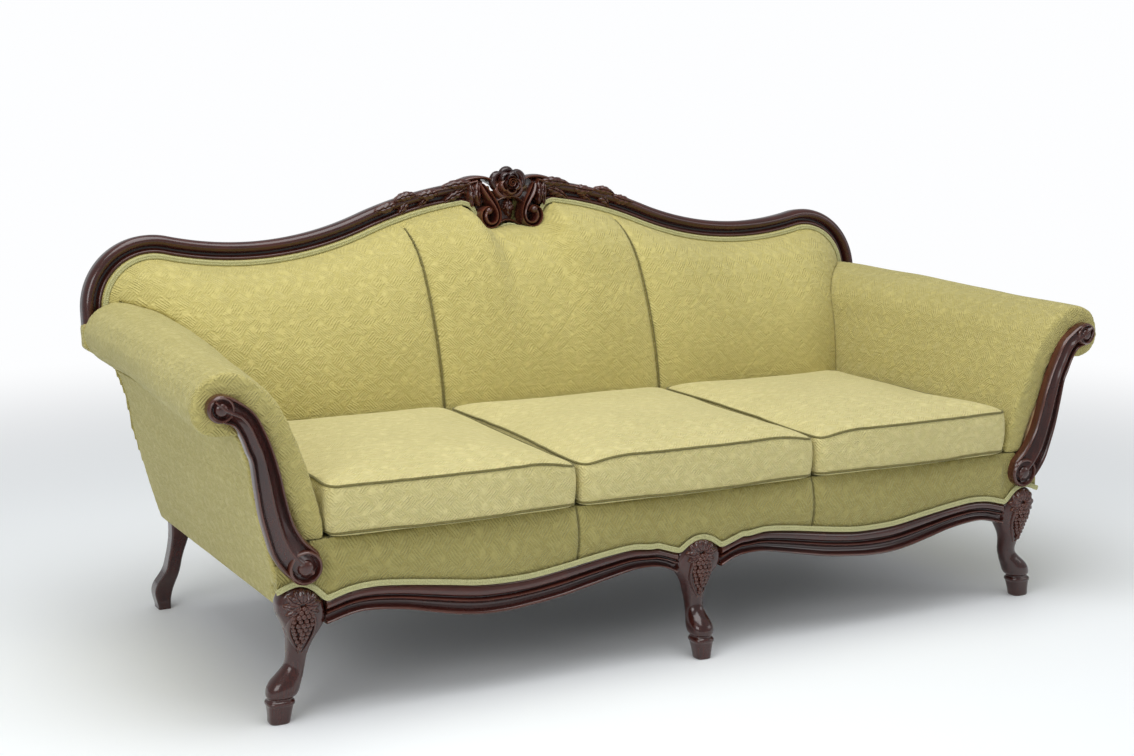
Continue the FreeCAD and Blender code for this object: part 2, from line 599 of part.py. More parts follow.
# The carved rose on the face of the centre block
rose_wires = [Part.Wire(Part.makeCircle(size("rose_radius") * share,
                                        V(0, -depth - ahead * size("rose_depth"), place("rose_height")),
                                        V(0, -1, 0)))
              for ahead, share in ((0.0, 0.88), (0.35, 1.0), (0.75, 0.82), (1.0, 0.45))]
shaped("crest_rose", raked(Part.makeLoft(rose_wires, True, False)))

# Uprights behind the two seams of the back, from the seat rail to the crest
upright_inset = size("upright_width") / 2
for side in (-1, 1):
    middle = side * size("seam_x")
    tall = crest_height(size("seam_x") + upright_inset, -half_crest)
    upright = Part.makeBox(size("upright_width"), size("post_depth"), tall,
                           V(middle - upright_inset, -post_front, 0))
    above_rail = Part.makeBox(size("upright_width"), size("post_depth"), tall,
                              V(middle - upright_inset, -post_front,
                                size("rail_bottom_z") + size("rail_height")))
    name = "back_upright_" + ("right" if side > 0 else "left")
    shaped(name, raked(upright.common(above_rail)))


# Back posts: sawn boards that lean out from the seat frame to the feet of the crest rail
post_corners = (
    ("Places.side_rail_x", rail_top),
    ("Places.side_rail_x + Sizes.rail_thickness", rail_top),
    ("Places.side_rail_x + 75", "Places.crest_end - 260"),
    ("Places.side_rail_x + 84", "Places.crest_end - 170"),
    ("Places.shoulder_x - 60", "Places.crest_end - 100"),
    ("Places.shoulder_x + Sizes.crest_width / 2", "Places.crest_end - 46"),
    ("Places.shoulder_x + Sizes.crest_width / 2", "Places.crest_end"),
    ("Places.shoulder_x - Sizes.crest_width / 2", "Places.crest_end"),
    ("Places.shoulder_x - 86", "Places.crest_end - 82"),
    ("Places.side_rail_x + 46", "Places.crest_end - 170"),
    ("Places.side_rail_x + 24", "Places.crest_end - 260"),
)
rake_base = ("0", "Sizes.rake_foot_y - Sizes.panel_thickness * cos(Sizes.rake)",
             "Sizes.panel_thickness * sin(Sizes.rake)")
for side, sign in (("right", ""), ("left", "-")):
    corners = tuple((sign + "(" + across + ")", up) for across, up in post_corners)
    board("back_post_" + side, "XZ_Plane", corners, "Sizes.post_depth", rake_base,
          (V(1, 0, 0), -size("rake"), "-Sizes.rake"))

# Tacking rails of the back, between the posts and the uprights
liner_up = "Sizes.rail_bottom_z + Sizes.rail_height + Sizes.deck_thickness + 15"
liner_spans = (
    ("left", "-Places.side_rail_x - 5", "Places.side_rail_x + 5 - Sizes.seam_x - Sizes.upright_width / 2"),
    ("centre", "-Sizes.seam_x + Sizes.upright_width / 2", "2 * Sizes.seam_x - Sizes.upright_width"),
    ("right", "Sizes.seam_x + Sizes.upright_width / 2",
     "Places.side_rail_x + 5 - Sizes.seam_x - Sizes.upright_width / 2"),
)
for name, across, span in liner_spans:
    liner = timber("back_tacking_rail_" + name, ("0", "0", "0"),
                   (span, "Sizes.liner_thickness", "Sizes.liner_height"))
    lean_box(liner, across, "Sizes.panel_thickness + Sizes.post_depth", liner_up)
    keep(liner, "back_tacking_rail_" + name)


# The arms: front post, top rail, tacking rail, facing, stuffed pad and outside panel
front_lean_tangent = math.tan(math.radians(size("front_lean")))
lean_forward = FreeCAD.Placement(V(0, -place("arm_front_y"), size("boss_height")),
                                 FreeCAD.Rotation(V(1, 0, 0), size("front_lean")))


def arm_front(z):
    """Where the front plane of an arm lies at a height."""
    return -place("arm_front_y") - (z - size("boss_height")) * front_lean_tangent


def leaned(shape):
    """A shape drawn on the arm's front plane at its real heights, leaned forward into place."""
    shape.translate(V(0, 0, -size("boss_height")))
    return shape.transformed(lean_forward.toMatrix())


rail_in = place("arm_rail_x")
rail_out = rail_in + size("arm_rail_width")
post_foot_z = size("side_block_top_z") + 0.5
post_x = place("side_leg_x")
post_rise = place("arm_rail_z") - deck_z
front_post_points = [(post_x - 1, post_foot_z), (post_x + 27, post_foot_z), (post_x + 50, deck_z),
                     (post_x + 66, deck_z + 0.37 * post_rise), (post_x + 73, deck_z + 0.67 * post_rise),
                     (post_x + 89, deck_z + 0.78 * post_rise), (rail_out, place("arm_rail_z")),
                     (rail_in, place("arm_rail_z")), (post_x + 66, deck_z + 0.85 * post_rise),
                     (post_x + 31, deck_z + 0.37 * post_rise), (post_x + 7, deck_z)]
post_wire = Part.makePolygon([V(x, 0, z) for x, z in front_post_points + front_post_points[:1]])
front_post = leaned(Part.Face(post_wire).extrude(V(0, size("front_post_thickness"), 0)))

arm_rail_start = arm_front(place("arm_rail_z")) + 1.5
arm_rail_top = place("arm_rail_z") + size("arm_rail_height")
arm_rail_end = back_y(place("arm_rail_z"), post_front)
arm_rail = Part.makeBox(size("arm_rail_width"), arm_rail_end - arm_rail_start, size("arm_rail_height"),
                        V(rail_in, arm_rail_start, place("arm_rail_z")))
pair("arm_top_rail", arm_rail)
front_post = front_post.cut(arm_rail)
pair("arm_front_post", front_post)

liner_z = deck_z + 15
liner_start = arm_front(liner_z) + size("front_post_thickness") + 2.5
arm_liner = Part.makeBox(size("liner_thickness"), back_y(liner_z, post_front) - liner_start,
                         size("liner_height"), V(place("arm_liner_x"), liner_start, liner_z))
pair("arm_tacking_rail", arm_liner)


def arm_section(points, spot_at):
    """A closed section of an arm: arcs over the roll, then straight lines down its outside."""
    spots = [spot_at(size("seat_side_x") + out, deck_z + share * (size("scroll_height") - deck_z))
             for out, share in points]
    edges = [arc(*spots[first:first + 3]) for first in (0, 2, 4, 6, 8)]
    edges += [Part.makeLine(spots[first], spots[first + 1]) for first in range(10, len(spots) - 1)]
    edges.append(Part.makeLine(spots[-1], spots[0]))
    return Part.Wire(edges)


# Inner face, top roll and underside of the roll, from the deck up and over, front and rear:
# how far out from the seat's side, and what share of the way up from the deck to the upper scroll
FRONT_ROLL = ((1.5, 0), (10.5, 0.213), (28.5, 0.442), (51.5, 0.702), (78.5, 0.926),
              (112.5, 1.105), (163.5, 1.225), (217.5, 1.174), (241.5, 1), (225.5, 0.837),
              (188.5, 0.798))
REAR_ROLL = ((1.5, 0), (1.5, 0.213), (5.5, 0.442), (13.5, 0.702), (25.5, 0.926), (47.5, 1.155),
             (114.5, 1.306), (194.5, 1.287), (225.5, 1.116), (213.5, 0.961), (184.5, 0.86))
FRONT_CAVITY = ((159.5, 0.795), (114.5, 0.736), (77.5, 0.349), (45.5, 0))
REAR_CAVITY = ((156.5, 0.806), (114.5, 0.736), (71.5, 0.349), (45.5, 0))
FRONT_OUTSIDE = ((159.5, 0.795), (140.5, 0.601), (126.5, 0.233), (109.5, 0))
REAR_OUTSIDE = ((156.5, 0.806), (140.5, 0.601), (126.5, 0.233), (109.5, 0))


def between(front, rear, share):
    return tuple((a + share * (c - a), b + share * (d - b)) for (a, b), (c, d) in zip(front, rear))


rear_forward = max(post_front, size("crest_depth")) + 0.5


def arm_loft(front_points, rear_points):
    """An arm swept through four sections, from its front plane to the raked back posts."""
    wires = [arm_section(front_points, lambda x, z: V(x, arm_front(z), z))]
    for y, share in ((-150.0, 0.45), (120.0, 0.85)):
        wires.append(arm_section(between(front_points, rear_points, share), lambda x, z, y=y: V(x, y, z)))
    wires.append(arm_section(rear_points, lambda x, z: V(x, back_y(z, rear_forward), z)))
    return Part.makeLoft(wires, True, False)


arm_envelope = arm_loft(FRONT_ROLL + FRONT_OUTSIDE, REAR_ROLL + REAR_OUTSIDE)
arm_stuffing = arm_loft(FRONT_ROLL + FRONT_CAVITY, REAR_ROLL + REAR_CAVITY)
arm_pad = arm_stuffing.cut(Part.makeCompound([arm_rail, front_post, arm_liner]))
arm_pad = max(arm_pad.Solids, key=lambda solid: solid.Volume)
pair("arm_pad", arm_pad)


# Show-wood facings of the arm fronts: an S-shaped board between two scroll bosses
low_boss = V(place("boss_x"), 0, size("boss_height"))
high_boss = V(place("scroll_x"), 0, size("scroll_height"))


def facing_side(top, top_bend, neck, swell, foot, foot_bend, end):
    """One long side of the facing, given from the upper boss, from its middle and from the lower boss."""
    neck_spot = high_boss + V(neck[0], 0, neck[1])
    foot_spot = low_boss + V(foot[0], 0, foot[1])
    middle = (neck_spot + foot_spot) / 2 + V(swell[0], 0, swell[1])
    top_spot = high_boss + V(top[0], 0, top[1])
    end_spot = low_boss + V(end[0], 0, end[1])
    edges = [arc(top_spot, high_boss + V(top_bend[0], 0, top_bend[1]), neck_spot),
             arc(neck_spot, middle, foot_spot),
             arc(foot_spot, low_boss + V(foot_bend[0], 0, foot_bend[1]), end_spot)]
    return edges, top_spot, end_spot


outer_side, outer_top, outer_end = facing_side((12, -22), (-29, -46), (-50, -95), (4.5, 2.5),
                                               (60, 25), (43, -7), (17, -27))
inner_side, inner_top, inner_end = facing_side((-22, 19), (-62, -13), (-94, -83), (2.5, 0.0),
                                               (10, 68), (-3, 42), (-23, 25))
facing_edges = outer_side + inner_side + [Part.makeLine(outer_top, inner_top),
                                          Part.makeLine(outer_end, inner_end)]
facing = closed_face(facing_edges).extrude(V(0, -size("facing_thickness"), 0))
boss_length = size("facing_thickness") + size("boss_proud")
for middle, radius in ((low_boss, size("boss_radius")), (high_boss, size("scroll_radius"))):
    facing = facing.fuse(Part.makeCylinder(radius, boss_length, middle, V(0, -1, 0)))
pair("arm_facing", leaned(facing.removeSplitter()))

# Outside arm panels, from under the roll down over the side rail
panel = size("arm_panel_thickness")
side_foot_x = place("side_rail_x") + size("rail_thickness")
panel_bottom_z = size("rail_bottom_z") - 7


def panel_edges(inward):
    top_x = place("scroll_x") - 35 - inward
    top_z = size("scroll_height") - 57
    return [arc(V(top_x, 0, top_z), V(top_x - 18, 0, top_z - 51), V(top_x - 27, 0, top_z - 111)),
            arc(V(top_x - 27, 0, top_z - 111), V(top_x - 44, 0, top_z - 189),
                V(side_foot_x + panel - inward, 0, panel_bottom_z))]


panel_top = V(place("scroll_x") - 35, 0, size("scroll_height") - 57)
panel_ends = [Part.makeLine(panel_top, panel_top - V(panel, 0, 0)),
              Part.makeLine(V(side_foot_x + panel, 0, panel_bottom_z), V(side_foot_x, 0, panel_bottom_z))]
panel_start = front_y + size("leg_block_depth")
outside_arm = closed_face(panel_edges(0) + panel_edges(panel) + panel_ends)
outside_arm.translate(V(0, arm_front(size("boss_height")) + 1, 0))
outside_arm = outside_arm.extrude(V(0, back_y(panel_bottom_z, 0) - arm_front(size("boss_height")) - 3, 0))
leg_room = Part.makeBox(2 * size("side_leg_half"), size("leg_block_depth"), size("side_block_top_z"),
                        V(place("side_leg_x") - size("side_leg_half"), front_y, 0))
pair("outside_arm", outside_arm.cut(leg_room))

# Outside back panel, behind the posts, up to the inner edge of the crest rail
foot_x = side_foot_x + panel
foot_rise = place("crest_end") - panel_bottom_z
half_panel_points = [(place("shoulder_x") - half_crest, place("crest_end"))]
for out, share in ((104, 0.857), (82, 0.76), (65, 0.642), (52, 0.446), (35, 0.295), (13, 0.139), (0, 0.0)):
    half_panel_points.append((foot_x + out, panel_bottom_z + share * foot_rise))
right_panel = crest_line(-half_crest, 90.0)
for first, second in zip(half_panel_points, half_panel_points[1:]):
    right_panel.append(Part.makeLine(V(first[0], 0, first[1]), V(second[0], 0, second[1])))
panel_outline = right_panel + [mirrored(edge) for edge in right_panel]
panel_outline.append(Part.makeLine(V(-side_foot_x - panel, 0, panel_bottom_z),
                                   V(side_foot_x + panel, 0, panel_bottom_z)))
outside_back = closed_face(panel_outline).extrude(V(0, -size("panel_thickness"), 0))
outside_arms = Part.makeCompound([outside_arm, mirrored(outside_arm)])
shaped("outside_back", raked(outside_back).cut(outside_arms))

# Stuffed inside back, three panels between sewn seams, rolling back to the crest rail
seat_seam_z = deck_z + size("cushion_gap") + size("cushion_height")
back_foot_y = size("cushion_back_y") + 3
pad_edge = -half_crest - size("gimp_width") - 1.5
pad_rear = post_front + size("web_thickness") + 0.5
rake_cosine = math.cos(math.radians(size("rake")))
lip_forward = post_front
lip_rise = lip_forward * math.sin(math.radians(size("rake"))) - 0.5


def back_section(x, puff, reach, dip=0.0):
    """A section across a back panel: upright behind the cushion, then leaning and rolling over.
    It swells by puff, keeps a share of its full thickness, and ends a dip below the crest rail."""
    top = crest_height(abs(x), pad_edge) * rake_cosine + lip_rise - dip
    rise = top - seat_seam_z

    def front(y, z):
        rear = back_y(z, pad_rear)
        return V(x, rear + (y - puff - rear) * reach, z)
    foot = front(back_foot_y + puff, deck_z)
    bend = front(back_foot_y + puff, seat_seam_z)
    middle = front(back_foot_y + 38, seat_seam_z + 0.38 * rise)
    brow = front(back_foot_y + 98, seat_seam_z + 0.72 * rise)
    roll = front(back_foot_y + 160, seat_seam_z + 0.90 * rise)
    lip = V(x, back_y(top, lip_forward), top)
    rear_z = seat_seam_z + 0.8 * rise
    rear_lip = V(x, back_y(top, lip_forward / 2), top)
    rear_top = V(x, back_y(rear_z, pad_rear), rear_z)
    rear_foot = V(x, back_y(deck_z, pad_rear), deck_z)
    return Part.Wire([Part.makeLine(foot, bend), arc(bend, middle, brow), arc(brow, roll, lip),
                      Part.makeLine(lip, rear_lip), Part.makeLine(rear_lip, rear_top),
                      Part.makeLine(rear_top, rear_foot), Part.makeLine(rear_foot, foot)])


seam = size("seam_x")
bulge = size("back_bulge")
volute_side = size("volute_x") + size("volute_radius")
dip_depth = crest_height(0, pad_edge) - place("volute_height") + size("volute_radius") - 4


def block_dip(x):
    """How far the top of the centre panel dips to pass under the carved volutes."""
    share = min(max((volute_side + 38 - abs(x)) / 60, 0.0), 1.0)
    return dip_depth * share * share * (3 - 2 * share)


half_stations = [(seam, 0.0), (seam - 16, bulge * 0.45), (seam - 44, bulge * 0.8), (seam - 90, bulge)]
half_stations += [(x, bulge) for x in (volute_side + 38, volute_side + 23, volute_side + 8,
                                       volute_side - 7, volute_side - 22, 30.0, 0.0)]
centre_stations = [(-x, puff) for x, puff in half_stations] + list(reversed(half_stations[:-1]))
centre_back = Part.makeLoft([back_section(x, puff, 1.0, block_dip(x)) for x, puff in centre_stations],
                            True, True)
upright_room = [raked(Part.makeBox(size("upright_width"), post_front + 1, 1000,
                                   V(side * seam - upright_inset, -post_front, 0))) for side in (-1, 1)]
centre_block = cartouche.copy()
centre_back = centre_back.cut(Part.makeCompound(upright_room + [raked(centre_block)]))
shaped("inside_back_centre", max(centre_back.Solids, key=lambda solid: solid.Volume))
shoulder = place("shoulder_x")
side_stations = ((seam, 0.0, 1.0), (seam + 50, bulge * 0.8, 1.0), (seam + 194, bulge, 1.0),
                 (size("hollow_x"), bulge, 1.0), (shoulder - 200, bulge * 0.7, 0.96),
                 (shoulder - 110, 0.0, 0.66), (shoulder - 50, 0.0, 0.3))
side_wires = [back_section(x, puff, reach) for x, puff, reach in side_stations]
side_back = Part.makeLoft(side_wires, True, False)
arm_shadow = Part.Face(arm_section(REAR_ROLL + REAR_OUTSIDE,
                                   lambda x, z: V(x, back_y(z, rear_forward) - 1, z))).extrude(V(0, 12, 0))
side_back = side_back.cut(Part.makeCompound(upright_room + [arm_envelope])).cut(arm_shadow).cut(arm_pad)
pair("inside_back", max(side_back.Solids, key=lambda solid: solid.Volume))

# Jute webbing across the front of the back frame
strap_reach = place("side_rail_x") + 30
strap_y = -post_front - size("web_thickness")
straps = [Part.makeBox(2 * strap_reach, size("web_thickness"), size("web_width"),
                       V(-strap_reach, strap_y, deck_z + 70 + step * size("web_spacing")))
          for step in range(3)]
shaped("back_webbing", raked(Part.makeCompound(straps)))

# Seat springs: flat zigzag wires from the front rail to the back rail, held by clips
spring_z = size("rail_bottom_z") + size("rail_height") - size("spring_wire") / 2 - 0.2
clip_y_front = frame_y + size("clip_depth")
spring_end = back_y(size("rail_bottom_z"), post_front) - size("clip_depth")
bend_radius = size("spring_pitch") / 4
spring_span = spring_end - clip_y_front
bend_pairs = int((spring_span - 4 * bend_radius) / size("spring_pitch"))
lead = (spring_span - bend_pairs * size("spring_pitch")) / 2


def spring_path(x):
    """One zigzag wire, straight at both ends, its runs joined by half circles."""
    run = size("spring_bend")
    first = clip_y_front + lead
    path = [Part.makeLine(V(x, clip_y_front, spring_z), V(x, first - bend_radius, spring_z)),
            quarter_turn(x, first - bend_radius, x + bend_radius, first)]
    spot = V(x + bend_radius, first, spring_z)
    for number in range(2 * bend_pairs):
        way = 1 if number % 2 == 0 else -1
        corner = V(x + way * run, spot.y, spring_z)
        after = corner + V(0, 2 * bend_radius, 0)
        path += [Part.makeLine(spot, corner), arc(corner, corner + V(way * bend_radius, bend_radius, 0), after)]
        spot = after
    last = V(x + bend_radius, spot.y, spring_z)
    path += [Part.makeLine(spot, last), quarter_turn(x, spot.y + bend_radius, last.x, spot.y)]
    path.append(Part.makeLine(V(x, spot.y + bend_radius, spring_z), V(x, spring_end, spring_z)))
    return path


def quarter_turn(x_along, y_along, x_across, y_across):
    """A quarter circle from a wire that runs front to back into one that runs across."""
    share = 1 - math.sqrt(0.5)
    middle = V(x_along + (x_across - x_along) * share, y_across + (y_along - y_across) * share, spring_z)
    return arc(V(x_along, y_along, spring_z), middle, V(x_across, y_across, spring_z))


springs = []
clips = []
per_seat = int(size("springs_per_seat"))
seat_spans = ((-size("seat_side_x"), -seam), (-seam, seam), (seam, size("seat_side_x")))
for span_start, span_end in seat_spans:
    for number in range(per_seat):
        x = span_start + (number + 0.5) * (span_end - span_start) / per_seat
        wire_end = Part.Wire(Part.makeCircle(size("spring_wire") / 2, V(x, clip_y_front, spring_z), V(0, 1, 0)))
        springs.append(Part.Wire(spring_path(x)).makePipeShell([wire_end], True, False))
        for y in (frame_y, spring_end):
            clips.append(Part.makeBox(16, size("clip_depth"), size("clip_height"),
                                      V(x - 8, y, spring_z - size("clip_height") + size("spring_wire") / 2)))
shaped("seat_springs", Part.makeCompound(springs))
shaped("spring_clips", Part.makeCompound(clips))

# Stuffed seat deck over the springs
keep(timber("seat_deck", ("-Places.deck_half_width", inner_rail_y, rail_top),
            ("2 * Places.deck_half_width", "Places.deck_back_y + Sizes.front_face_y - Sizes.moulding_thickness",
             "Sizes.deck_thickness")), "seat_deck")

# Front border, three stuffed panels between the front rails and the deck's edge
border_end = place("side_leg_x") - size("side_leg_half")
leg_top = size("centre_block_top_z")


def border_half():
    """The right half of the border's outline down to the top edge of the moulded rail."""
    centre_half = size("centre_leg_half")
    edges = serpentine(*top_wave)
    edges += [Part.makeLine(V(0, 0, leg_top), V(centre_half, 0, leg_top)),
              Part.makeLine(V(centre_half, 0, leg_top), V(centre_half, 0, top_wave[2])),
              Part.makeLine(V(border_end, 0, top_wave[2]), V(border_end, 0, deck_z)),
              Part.makeLine(V(border_end, 0, deck_z), V(0, 0, deck_z)),
              Part.makeLine(V(0, 0, deck_z), V(0, 0, leg_top))]
    return closed_face(edges).extrude(V(0, -size("moulding_thickness"), 0))


half_border = border_half()
half_border.translate(V(0, inner_front_y, 0))
seam_box = Part.makeBox(seam, 200, 600, V(0, front_y - 50, 0))
outer_border = half_border.cut(seam_box)
inner_border = half_border.common(seam_box)
pair("front_border", outer_border)
shaped("front_border_centre", inner_border.fuse(mirrored(inner_border)).removeSplitter())

# Gimp braid along the top edge of the moulded rails and under the crest rail
gimp_ends = [Part.makeLine(V(x, 0, top_wave[2]), V(x, 0, top_wave[2] + size("gimp_width")))
             for x in (size("centre_leg_half"), border_end)]
gimp_strip = closed_face(serpentine(*top_wave) + serpentine(*top_wave, size("gimp_width")) + gimp_ends)
gimp_strip = gimp_strip.extrude(V(0, -size("gimp_thickness"), 0))
gimp_strip.translate(V(0, front_y, 0))
shaped("gimp_front", Part.makeCompound([gimp_strip, mirrored(gimp_strip)]))
gimp_inner = -half_crest - size("gimp_width")
gimp_foot = place("crest_end") + 20
crest_gimp_ends = [
    Part.makeLine(V(place("shoulder_x") + gimp_inner, 0, gimp_foot),
                  V(place("shoulder_x") - half_crest, 0, gimp_foot)),
    Part.makeLine(on_circle(CROWN, size("crown_radius") + gimp_inner, 85.0),
                  on_circle(CROWN, size("crown_radius") - half_crest, 85.0)),
]
crest_gimp = closed_face(crest_line(-half_crest, 85.0, gimp_foot)
                         + crest_line(gimp_inner, 85.0, gimp_foot) + crest_gimp_ends)
crest_gimp.translate(V(0, -post_front - 0.5, 0))
crest_gimp = raked(crest_gimp.extrude(V(0, -size("gimp_thickness"), 0)))
shaped("gimp_crest", Part.makeCompound([crest_gimp, mirrored(crest_gimp)]))


# Loose seat cushions: boxed and piped, crowned on top, their sides drawn in between the corners
def cushion_outline(left, right, inset, z, front_bow, pull):
    """A level outline of a cushion, its corners rounded, its front bowed and its sides drawn in."""
    front = -place("cushion_front_y") + inset
    rear = size("cushion_back_y") - inset
    west = left + inset
    east = right - inset
    corner = size("cushion_corner") + inset * 0.2
    nick = corner * (1 - math.sqrt(0.5))
    middle_x = (west + east) / 2
    middle_y = (front + rear) / 2
    return Part.Wire([
        arc(V(west + corner, front, z), V(middle_x, front - front_bow, z), V(east - corner, front, z)),
        arc(V(east - corner, front, z), V(east - nick, front + nick, z), V(east, front + corner, z)),
        arc(V(east, front + corner, z), V(east - pull, middle_y, z), V(east, rear - corner, z)),
        arc(V(east, rear - corner, z), V(east - nick, rear - nick, z), V(east - corner, rear, z)),
        arc(V(east - corner, rear, z), V(middle_x, rear - pull, z), V(west + corner, rear, z)),
        arc(V(west + corner, rear, z), V(west + nick, rear - nick, z), V(west, rear - corner, z)),
        arc(V(west, rear - corner, z), V(west + pull, middle_y, z), V(west, front + corner, z)),
        arc(V(west, front + corner, z), V(west + nick, front + nick, z), V(west + corner, front, z)),
    ])


def seat_cushion(left, right):
    """One cushion between two joints of the seat."""
    gap = size("cushion_gap")
    foot = deck_z + gap
    seam_z = foot + size("cushion_height")
    crown = size("cushion_crown")
    bow = size("cushion_bow")
    pull = size("cushion_pull")
    west = left + 2 * gap
    east = right - 2 * gap
    box_wires = [cushion_outline(west, east, inset, z, bow, pull)
                 for inset, z in ((4.0, foot), (0.0, (foot + seam_z) / 2), (3.0, seam_z))]
    crown_wires = [cushion_outline(west, east, inset, z, bow, pull)
                   for inset, z in ((3.0, seam_z), (22.0, seam_z + 0.45 * crown), (60.0, seam_z + 0.80 * crown),
                                    (120.0, seam_z + crown))]
    boxing = Part.makeLoft(box_wires, True, False)
    return boxing.fuse(Part.makeLoft(crown_wires, True, False))


for name, (span_start, span_end) in zip(("left", "centre", "right"), seat_spans):
    shaped("seat_cushion_" + name, seat_cushion(span_start, span_end))

# Dust cover under the seat frame
keep(timber("dust_cover", ("-Places.side_rail_x - 10", frame_front_y,
                           "Sizes.rail_bottom_z - Sizes.dust_thickness"),
            ("2 * (Places.side_rail_x + 10)",
             "Places.back_leg_y - Sizes.back_leg_half - 3 - (" + frame_front_y + ")",
             "Sizes.dust_thickness")), "dust_cover")

doc.recompute()
for thing in doc.Objects:
    if "Invalid" in thing.State or "Error" in thing.State:
        raise RuntimeError("failed object: " + thing.Label)
for piece in PIECES:
    if piece.Shape.isNull() or not piece.Shape.isValid():
        raise RuntimeError("bad shape: " + piece.Label)

os.makedirs("parts", exist_ok=True)
whole = FreeCAD.BoundBox()
for piece in PIECES:
    piece.Shape.exportStep("parts/" + piece.Label + ".step")
    whole.add(piece.Shape.BoundBox)
    print(piece.Label, len(piece.Shape.Solids), round(piece.Shape.Volume))
print(len(PIECES), "pieces", whole)
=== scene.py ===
# Cabriole sofa for three: a dark lacquered mahogany show frame, carved at its crest and knees,
# round close-covered arms and back, and three loose boxed cushions in olive woven matelasse.
import math
import bmesh
import bpy
import numpy as np
from mathutils import Matrix, Vector, noise
from mathutils.bvhtree import BVHTree


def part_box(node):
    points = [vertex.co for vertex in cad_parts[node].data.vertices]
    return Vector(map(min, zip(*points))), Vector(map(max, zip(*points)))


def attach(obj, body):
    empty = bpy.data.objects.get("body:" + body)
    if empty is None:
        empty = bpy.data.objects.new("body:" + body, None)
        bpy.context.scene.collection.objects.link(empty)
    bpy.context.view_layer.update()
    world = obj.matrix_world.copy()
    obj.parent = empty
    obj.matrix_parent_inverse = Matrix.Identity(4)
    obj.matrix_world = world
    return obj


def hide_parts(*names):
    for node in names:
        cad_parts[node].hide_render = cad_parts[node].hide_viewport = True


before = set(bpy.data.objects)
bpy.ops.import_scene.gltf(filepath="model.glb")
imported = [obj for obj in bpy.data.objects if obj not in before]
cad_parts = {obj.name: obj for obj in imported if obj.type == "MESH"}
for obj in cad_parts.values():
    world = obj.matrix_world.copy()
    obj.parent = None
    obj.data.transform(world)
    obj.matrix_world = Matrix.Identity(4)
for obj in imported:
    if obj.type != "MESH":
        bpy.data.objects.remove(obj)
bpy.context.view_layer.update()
scene = bpy.context.scene

# Camera, floor and lamps
# The camera stands at the left front, a little above the crest, as in the photograph. The floor
# is a plain pale sheet that fades to white, under one wide soft lamp and two weaker fills.
camera_data = bpy.data.cameras.new("camera")
camera_data.lens = 56.32
camera_data.sensor_width = 36.0
camera = bpy.data.objects.new("camera", camera_data)
camera.matrix_world = (Matrix.Translation((-1.85883, -3.36255, 1.13822))
                       @ Matrix.Rotation(math.radians(-28.0), 4, "Z")
                       @ Matrix.Rotation(math.radians(90 - 9.317), 4, "X")
                       @ Matrix.Rotation(math.radians(-0.053), 4, "Z"))
scene.collection.objects.link(camera)
scene.camera = camera
scene.view_settings.view_transform = "Standard"


def adder(tree):
    """A function that adds a node to a tree, with its settings and its inputs' values or links."""
    def add(kind, inputs=(), **settings):
        node = tree.nodes.new(kind)
        for key, value in settings.items():
            setattr(node, key, value)
        for key, value in dict(inputs).items():
            if isinstance(value, bpy.types.NodeSocket):
                tree.links.new(value, node.inputs[key])
            else:
                node.inputs[key].default_value = value
        return node
    return add


def nodes_of(holder):
    """The adding function of the emptied node tree of a material or a world."""
    holder.use_nodes = True
    holder.node_tree.nodes.clear()
    return adder(holder.node_tree)


PAPER_WHITE = (0.985, 0.99, 1.0, 1)
floor_mesh = bpy.data.meshes.new("floor")
floor_mesh.from_pydata([(-14, -14, 0), (14, -14, 0), (14, 14, 0), (-14, 14, 0)], [], [(0, 1, 2, 3)])
floor = bpy.data.objects.new("floor", floor_mesh)
scene.collection.objects.link(floor)
floor_finish = bpy.data.materials.new("pale_floor")
add = nodes_of(floor_finish)
away = add("ShaderNodeVectorMath", {0: add("ShaderNodeTexCoord").outputs["Object"]}, operation="LENGTH")
fade = add("ShaderNodeMapRange", {"Value": away.outputs["Value"], "From Min": 1.5, "From Max": 4.2},
           interpolation_type="SMOOTHSTEP")
seen = add("ShaderNodeMath", {0: fade.outputs["Result"],
                              1: add("ShaderNodeLightPath").outputs["Is Camera Ray"]}, operation="MULTIPLY")
paint = add("ShaderNodeBsdfPrincipled", {"Base Color": (0.90, 0.925, 0.94, 1), "Roughness": 0.55,
                                         "Specular IOR Level": 0.25})
glow = add("ShaderNodeEmission", {"Color": PAPER_WHITE})
mixed = add("ShaderNodeMixShader", {"Fac": seen.outputs[0], 1: paint.outputs[0], 2: glow.outputs[0]})
add("ShaderNodeOutputMaterial", {"Surface": mixed.outputs[0]})
floor_mesh.materials.append(floor_finish)

room = bpy.data.worlds.new("white_room")
scene.world = room
add = nodes_of(room)
light = add("ShaderNodeBackground", {"Color": (0.96, 0.98, 1.0, 1), "Strength": 0.42})
white = add("ShaderNodeBackground", {"Color": PAPER_WHITE, "Strength": 1.0})
mixed = add("ShaderNodeMixShader", {"Fac": add("ShaderNodeLightPath").outputs["Is Camera Ray"],
                                    1: light.outputs[0], 2: white.outputs[0]})
add("ShaderNodeOutputWorld", {"Surface": mixed.outputs[0]})


def lamp(name, place, aim, width, height, watts, colour=(1, 1, 1)):
    """A soft rectangular lamp at a place, turned towards a point."""
    light = bpy.data.lights.new(name, "AREA")
    light.shape = "RECTANGLE"
    light.size, light.size_y, light.energy, light.color = width, height, watts, colour
    stand = bpy.data.objects.new(name, light)
    way = Vector(aim) - Vector(place)
    stand.matrix_world = Matrix.Translation(place) @ way.to_track_quat("-Z", "Y").to_matrix().to_4x4()
    scene.collection.objects.link(stand)


lamp("overhead", (-0.5, -0.6, 3.4), (0, 0, 0.4), 3.4, 2.6, 95)
lamp("window_left", (-3.6, -2.6, 2.2), (0, 0, 0.5), 2.4, 1.8, 55)
lamp("fill_right", (3.6, -2.8, 1.9), (0, 0, 0.5), 2.0, 1.6, 18)

